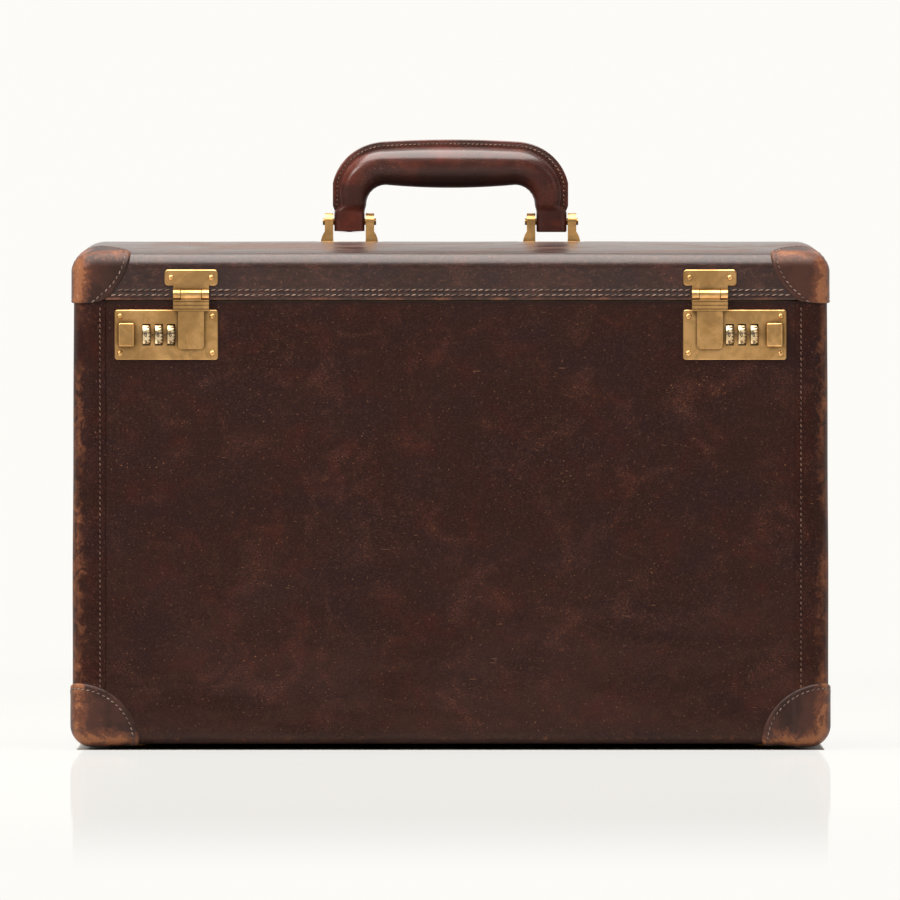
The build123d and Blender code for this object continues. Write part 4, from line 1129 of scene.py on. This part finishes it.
def seamLine(distance):
    # The line at a distance outside the handle's outer side, from one tab's top to the other's. It keeps
    # its place in X while the leg widens to the tab.
    x, z, turn, wide, deep, square = handleSpine()
    keep = z > handle["tabTop"] - 3.2
    x, z, turn, wide, square = x[keep], z[keep], turn[keep], wide[keep], square[keep]
    angle = np.radians(turn)
    reach = wide / 2 + distance
    across = x + reach * np.cos(angle)
    limit = handle["halfSpan"] + handle["leg"] + distance - 1.3 * np.clip(square - 1, 0, 1)
    across = np.clip(across, -limit, limit)
    return pointsAt(across, 0.0, z + reach * np.sin(angle))


def makeSeamFlange():
    # two edges of hide sewn together: a rounded bar carried along the outside of the handle
    inner, outer = seamLine(-2.6), seamLine(handle["seam"])
    half = handle["seamThick"] / 2
    flat = np.array([0.0, 0.4, 0.5, 0.56, 0.62, 0.68, 0.74, 0.84, 0.93, 0.98, 1.0, 1.0, 0.99])
    thick = np.array([1.35, 1.02, 1.0, 0.93, 0.86, 0.93, 1.0, 1.0, 0.95, 0.8, 0.55, 0.2, 0.0])
    share = np.concatenate([flat, flat[-2::-1]])
    depth = np.concatenate([-thick, thick[-2::-1]]) * half
    points = inner[:, None] + (outer - inner)[:, None] * share[None, :, None]
    points[..., 1] = depth[None]
    tight = np.linspace(0, 1, len(points))
    taper = smoothStep(tight, 0, 0.012) * smoothStep(tight, 1, 0.988)
    points = inner[:, None] + (points - inner[:, None]) * taper[:, None, None]
    pressed = np.exp(-(((share - 0.62) / 0.09) ** 2))
    # dirt and painted shade in the pressed groove of the seam
    groove = np.tile(pressed, (len(points), 1))
    piece = gridPiece("handleSeamFlange", points, handleHide, around=True, flip=True, groove=groove)
    return settle(piece, "handle", "handle_leather")


makeSeamFlange()
handleRows = []
for end in ends.values():
    line = seamLine(1.75)
    line[:, 1] = end * (handle["seamThick"] / 2 - 0.12)
    outward = np.tile((0.0, float(end), 0.0), (len(line) - 2, 1))
    handleRows.append(resample(line[1:-1], outward, handleStitch["pitch"]))
makeStitches("handleStitches", handleRows, handleStitch, handleThread, "handle", "handle_leather")
print("handle made")

# node: the body it rides on and the width of its rounded edges, with {} for left and right
hardware = {
    "lock_plate_{}": ("case_body", 0.6),
    "thumb_slide_{}": ("slide_{}", 0.12),
    "hasp_plate_{}": ("lid", 0.5),
    "hasp_leaf_{}": ("hasp_{}", 0.4),
    "handle_bracket_{}": ("lid", 0.35),
    "handle_pins": ("lid", 0.5),
    "hasp_pins": ("lid", 0.2),
    "lock_rivets": ("case_body", 0.0),
    "hasp_rivets": ("lid", 0.0),
    "hinge_body_leaf": ("case_body", 0.15),
    "hinge_lid_leaf": ("lid", 0.15),
    "hinge_body_rivets": ("case_body", 0.2),
    "hinge_lid_rivets": ("lid", 0.2),
    "base_studs": ("case_body", 0.0),
}


def softenedCopy(node, body, width, finish, slot):
    # a copy of a CAD part, merged and with its edges rounded
    piece = frame["nodes"][node].copy()
    piece.data = piece.data.copy()
    piece.name = piece.data.name = "fine_" + node
    for key in [key for key in piece.keys() if key.startswith("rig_")]:
        del piece[key]
    piece.parent = None
    scene.collection.objects.link(piece)
    mergeDoubles(piece)
    piece.data.polygons.foreach_set("use_smooth", np.ones(len(piece.data.polygons), dtype=bool))
    piece.data.set_sharp_from_angle(angle=math.radians(32))
    piece.data.materials.clear()
    piece.data.materials.append(finish)
    if width:
        soften(piece, width, angle=32)
    return settle(piece, body, slot, node)


for node, (body, width) in hardware.items():
    for sideName in sides if "{}" in node else [""]:
        softenedCopy(node.format(sideName), body.format(sideName), width, brass, "brass")

digit = {"size": 3.5, "narrow": 0.92, "proud": 0.035, "radius": 7.6, "shift": -0.4, "sink": 0.15}
lockPlace = {"x": 170.5, "first": 11.85, "pitch": 7.4, "y": -86.35, "z": 249.35, "plateFace": -91.6}


def glyph(character, size):
    # a plain digit as a flat mesh, centred, in millimetres
    text = bpy.data.curves.new("glyph", "FONT")
    text.body, text.size, text.align_x, text.align_y = character, size, "CENTER", "CENTER"
    text.offset = 0.02 * size
    carrier = bpy.data.objects.new("glyph", text)
    scene.collection.objects.link(carrier)
    mesh = bpy.data.meshes.new_from_object(carrier)
    points = np.zeros(len(mesh.vertices) * 3)
    mesh.vertices.foreach_get("co", points)
    faces = [list(face.vertices) for face in mesh.polygons]
    bpy.data.objects.remove(carrier)
    bpy.data.meshes.remove(mesh)
    bpy.data.curves.remove(text)
    points = points.reshape(-1, 3)
    points[:, :2] -= (points[:, :2].max(0) + points[:, :2].min(0)) / 2
    return points, faces


glyphs = [glyph(str(i), digit["size"]) for i in range(10)]


def makeDigits(sideName, number, side):
    # each flat digit is wrapped round the wheel: its height becomes an angle about the axle
    middle = side * (lockPlace["x"] + lockPlace["first"] - lockPlace["pitch"] * (number - 1))
    vertices, faces, start = [], [], 0
    for value, (flat, flatFaces) in enumerate(glyphs):
        turn = math.radians(360 / len(glyphs) * value) + flat[:, 1] / digit["radius"]
        reach = digit["radius"] + digit["proud"]
        y = lockPlace["y"] - reach * np.cos(turn)
        z = lockPlace["z"] + reach * np.sin(turn)
        x = middle + digit["shift"] + flat[:, 0] * digit["narrow"]
        vertices.append(pointsAt(x, y, z))
        faces += [[start + corner for corner in face] for face in flatFaces]
        start += len(flat)
    name = f"digits_{sideName}_{number}"
    piece = meshPiece(name, np.concatenate(vertices), faces, paint, smooth=False)
    mergeDoubles(piece)
    thicken(piece, digit["sink"])
    return settle(piece, f"wheel_{sideName}_{number}", "dial_brass")


for sideName, side in sides.items():
    for number in (1, 2, 3):
        softenedCopy(f"dial_{sideName}_{number}", f"wheel_{sideName}_{number}", 0.0, dialBrass, "dial_brass")
        makeDigits(sideName, number, side)


indexMark = {"halfWidth": 0.72, "halfHeight": 0.34, "proud": 0.05, "sink": 0.06}


def makeIndexMarks():
    # a short engraved dash in the land between two windows, as a flat lens
    look = indexMark
    turn = np.linspace(0, 2 * np.pi, 17)[:-1]
    vertices, faces = [], []
    for side in sides.values():
        for number in (0.5, 1.5):
            x = side * (lockPlace["x"] + lockPlace["first"] - lockPlace["pitch"] * number)
            for share in (1.0, 0.0):
                across = x + look["halfWidth"] * share * np.cos(turn)
                up = look["halfHeight"] * share * np.sin(turn)
                face = lockPlace["plateFace"] - look["proud"] * (1 - share)
                vertices.append(pointsAt(across, face, lockPlace["z"] + up))
    count = len(turn)
    for mark in range(4):
        first = np.arange(count) + mark * 2 * count
        following = np.roll(first, -1)
        faces.append(np.stack([first, following, following + count, first + count], axis=-1))
    piece = meshPiece("indexMarks", np.concatenate(vertices), np.concatenate(faces).tolist(), paint)
    mergeDoubles(piece)
    thicken(piece, look["sink"])
    return settle(piece, "case_body", "brass")


makeIndexMarks()
print("hardware and dials ready")

lining = {
    "halfX": 218.7, "halfY": 82.2, "clear": 1.0, "thick": 0.9, "corner": 4.0, "slack": 0.35,
    "floor": 11.3, "bodyTop": 277.4, "lidFoot": 279.4, "ceiling": 291.5,
}


def makeLining(name, rimLevel, farLevel, body, node):
    # a cloth-covered tray: walls, a rounded foot and a far face, slightly slack between its corners
    inward = 1.0 if farLevel < rimLevel else -1.0
    radius = lining["corner"]
    far = farLevel + inward * lining["clear"]
    holeZ = openingEdges("z", "halfZ") if inward > 0 else []
    wall = np.concatenate([np.linspace(rimLevel, far + inward * radius, 26), holeZ])
    wall = np.unique(wall)[:: -int(inward)]
    turns = np.radians(np.linspace(0, 90, 8))[1:]
    shares = np.linspace(0, 1, 24)[1:]
    insets = np.concatenate([0 * wall, radius * (1 - np.cos(turns)), radius + 0 * shares])
    level = np.concatenate([wall, far + inward * radius * (1 - np.sin(turns)), far + 0 * shares])
    share = np.concatenate([0 * wall, 0 * turns, shares])[:, None]
    straight = lining["halfX"] - lining["clear"] - radius
    holeX = [straight - part for part in openingEdges("x", "halfX")]
    front = np.unique(np.concatenate([np.linspace(straight, 0, 60), holeX]))[::-1]
    arc = np.linspace(0, 90, 8)[1:-1]
    along = np.linspace(0, lining["halfY"] - lining["clear"] - radius, 26)
    corner = np.maximum(radius - insets, 0.5)
    halfX, halfY = (lining[key] - lining["clear"] - insets for key in ("halfX", "halfY"))
    x, y = quarterOutline(halfX, halfY, corner, front, arc, along)
    ridge = lining["halfX"] - lining["halfY"]
    x = x * (1 - share) + np.minimum(x, ridge) * share
    y = y * (1 - share)
    slack = lining["slack"] * np.sin(x / 19) * np.sin(y / 15) * smoothStep(share, 0.02, 0.2)
    z = level[:, None] + inward * np.abs(slack)
    whole = wholeFromQuarter(pointsAt(x, y, z))
    pairs = (whole + np.roll(whole, -1, axis=1)) / 4
    middle = pairs[:-1] + pairs[1:]
    keep = ~(overLock(middle[..., 0], middle[..., 2]) & (middle[..., 1] < -80))
    piece = gridPiece(name, whole, twill, around=True, keep=keep, flip=inward < 0)
    thicken(piece, lining["thick"])
    return settle(piece, body, "lining_cloth", node)


makeLining("bodyLiningCloth", lining["bodyTop"], lining["floor"], "case_body", "body_lining")
makeLining("lidLiningCloth", lining["lidFoot"], lining["ceiling"], "lid", "lid_lining")

stayFinish = {"plywood": plywood, "steel": steel, "core_felt": felt, "brass": brass, "dial_brass": dialBrass}
slotOf = {part["node"]: part["material_slot"] for part in frame["record"]["subparts"]}
for node, piece in frame["nodes"].items():
    finish = stayFinish.get(slotOf[node])
    if finish is not None:
        piece.data.materials.clear()
        piece.data.materials.append(finish)
print("linings and boards ready")

stage = {
    "pale": (0.983, 0.967, 0.930),
    "paper": (0.62, 0.61, 0.58),
    "under": (224.0, 87.0, 1.5),
    "floorHalf": 15000.0,
    "mirror": 0.17,
    "mirrorRoughness": 0.05,
    "litShare": 0.09,
    "fadeFrom": 1000,
    "fadeTo": 1900,
    "room": (1.0, 0.985, 0.96),
    "ambient": 0.42,
    "frontGlow": 0.10,
    "backGlow": 1.0,
    "glowFrom": 0.1,
    "glowTo": 0.7,
}


def rayKinds(writer):
    # 1 for a ray from the camera, for one off a glossy surface and for one through glass
    path = writer.node("ShaderNodeLightPath")
    outputs = path.socket.node.outputs
    return [Field(writer, outputs[f"Is {kind} Ray"]) for kind in ("Camera", "Glossy", "Transmission")]


def makeFloor():
    # Rays that are seen meet pale paper that is lit a little, so it keeps a soft shadow, with a faint mirror
    # over it; further out it turns into the background. Under the case, and to all other rays, it is matt.
    paperLook = {"Base Color": stage["paper"], "Roughness": 0.9, "Specular IOR Level": 0.0}
    finish = Finish("floorPaper", paperLook)
    camera, glossy, transmitted = rayKinds(finish)
    seen = camera.most(glossy).most(transmitted)
    underX, underY, edge = stage["under"]
    underneath = finish.step(abs(finish.x), underX + edge, underX)
    underneath = underneath * finish.step(abs(finish.y), underY + edge, underY)
    away = finish.node("ShaderNodeVectorMath", {"operation": "LENGTH"}, {0: finish.place}, "Value") * 1000
    near = 1 - finish.step(away, stage["fadeFrom"], stage["fadeTo"])
    matt = finish.surface
    glow = finish.node("ShaderNodeEmission", {}, {"Color": stage["pale"], "Strength": 1.0})
    look = {"Color": (1.0, 1.0, 1.0), "Roughness": stage["mirrorRoughness"]}
    mirror = finish.node("ShaderNodeBsdfAnisotropic", {}, look)
    paper = finish.mixed(near * stage["litShare"], glow, matt)
    shiny = finish.mixed(near * stage["mirror"], paper, mirror)
    finish.show(finish.mixed(seen * (1 - underneath), matt, shiny))
    corners = np.array([(-1, -1, 0), (1, -1, 0), (1, 1, 0), (-1, 1, 0)]) * stage["floorHalf"]
    floor = meshPiece("floor", corners, [[0, 1, 2, 3]], finish.material)


def makeWorld():
    # pale to rays that are seen, an even dim light to matt surfaces, and to mirrors dark on the camera's
    # side and pale behind the case
    world = bpy.data.worlds.new("studio")
    scene.world = world
    sky = Writer(world)
    camera, glossy, transmitted = rayKinds(sky)
    direction = sky.node("ShaderNodeTexCoord")
    back = sky.node("ShaderNodeSeparateXYZ", {}, {0: direction}, "Y")
    values = {"Value": back, "From Min": stage["glowFrom"], "From Max": stage["glowTo"]}
    values.update({"To Min": stage["frontGlow"], "To Max": stage["backGlow"]})
    glow = sky.node("ShaderNodeMapRange", {"interpolation_type": "SMOOTHSTEP"}, values)
    looks = (stage["pale"], 1.0), (stage["pale"], glow), (stage["room"], stage["ambient"])
    seen, mirrored, even = (
        sky.node("ShaderNodeBackground", {}, {"Color": colour, "Strength": strength})
        for colour, strength in looks
    )
    whole = sky.mixed(camera.most(transmitted), sky.mixed(glossy, even, mirrored), seen)
    sky.node("ShaderNodeOutputWorld", {}, {"Surface": whole})


# name: place, size, power and colour of a lamp that faces the case's middle
lamps = {
    "keySoftbox": ((-1700, -1600, 1400), (620, 620), 30, (1.0, 0.97, 0.93)),
    "fillSoftbox": ((2000, -1400, 900), (900, 1300), 7, (0.96, 0.98, 1.0)),
    "topSoftbox": ((-100, -300, 1600), (1700, 1700), 58, (1.0, 0.98, 0.95)),
}


def makeLamps():
    for name, (place, size, power, colour) in lamps.items():
        light = bpy.data.lights.new(name, "AREA")
        light.shape, light.size, light.size_y = "RECTANGLE", size[0] * mm, size[1] * mm
        light.energy, light.color = power, colour
        lamp = bpy.data.objects.new(name, light)
        lamp.location = Vector(place) * mm
        lamp.visible_camera = False
        lamp.rotation_euler = (Vector((0, 0, 0.15)) - lamp.location).to_track_quat("-Z", "Y").to_euler()
        scene.collection.objects.link(lamp)


lens = {"from": (-0.3, -9090.0, 305.0), "to": (-0.3, -90.0, 180.2), "frameWidth": 540.0, "sensor": 36.0}


def makeCamera():
    # long lens, level with the case's top; the frame is 540 mm wide at the case's front
    data = bpy.data.cameras.new("camera")
    camera = bpy.data.objects.new("camera", data)
    start, target = Vector(lens["from"]), Vector(lens["to"])
    data.sensor_width = lens["sensor"]
    data.lens = lens["sensor"] * (target - start).length / lens["frameWidth"]
    data.clip_start, data.clip_end = 0.1, 50.0
    camera.location = start * mm
    camera.rotation_euler = (target - start).to_track_quat("-Z", "Y").to_euler()
    scene.collection.objects.link(camera)
    scene.camera = camera


makeFloor()
makeWorld()
makeLamps()
makeCamera()
scene.view_settings.view_transform = "Standard"
print("floor, light and camera ready")
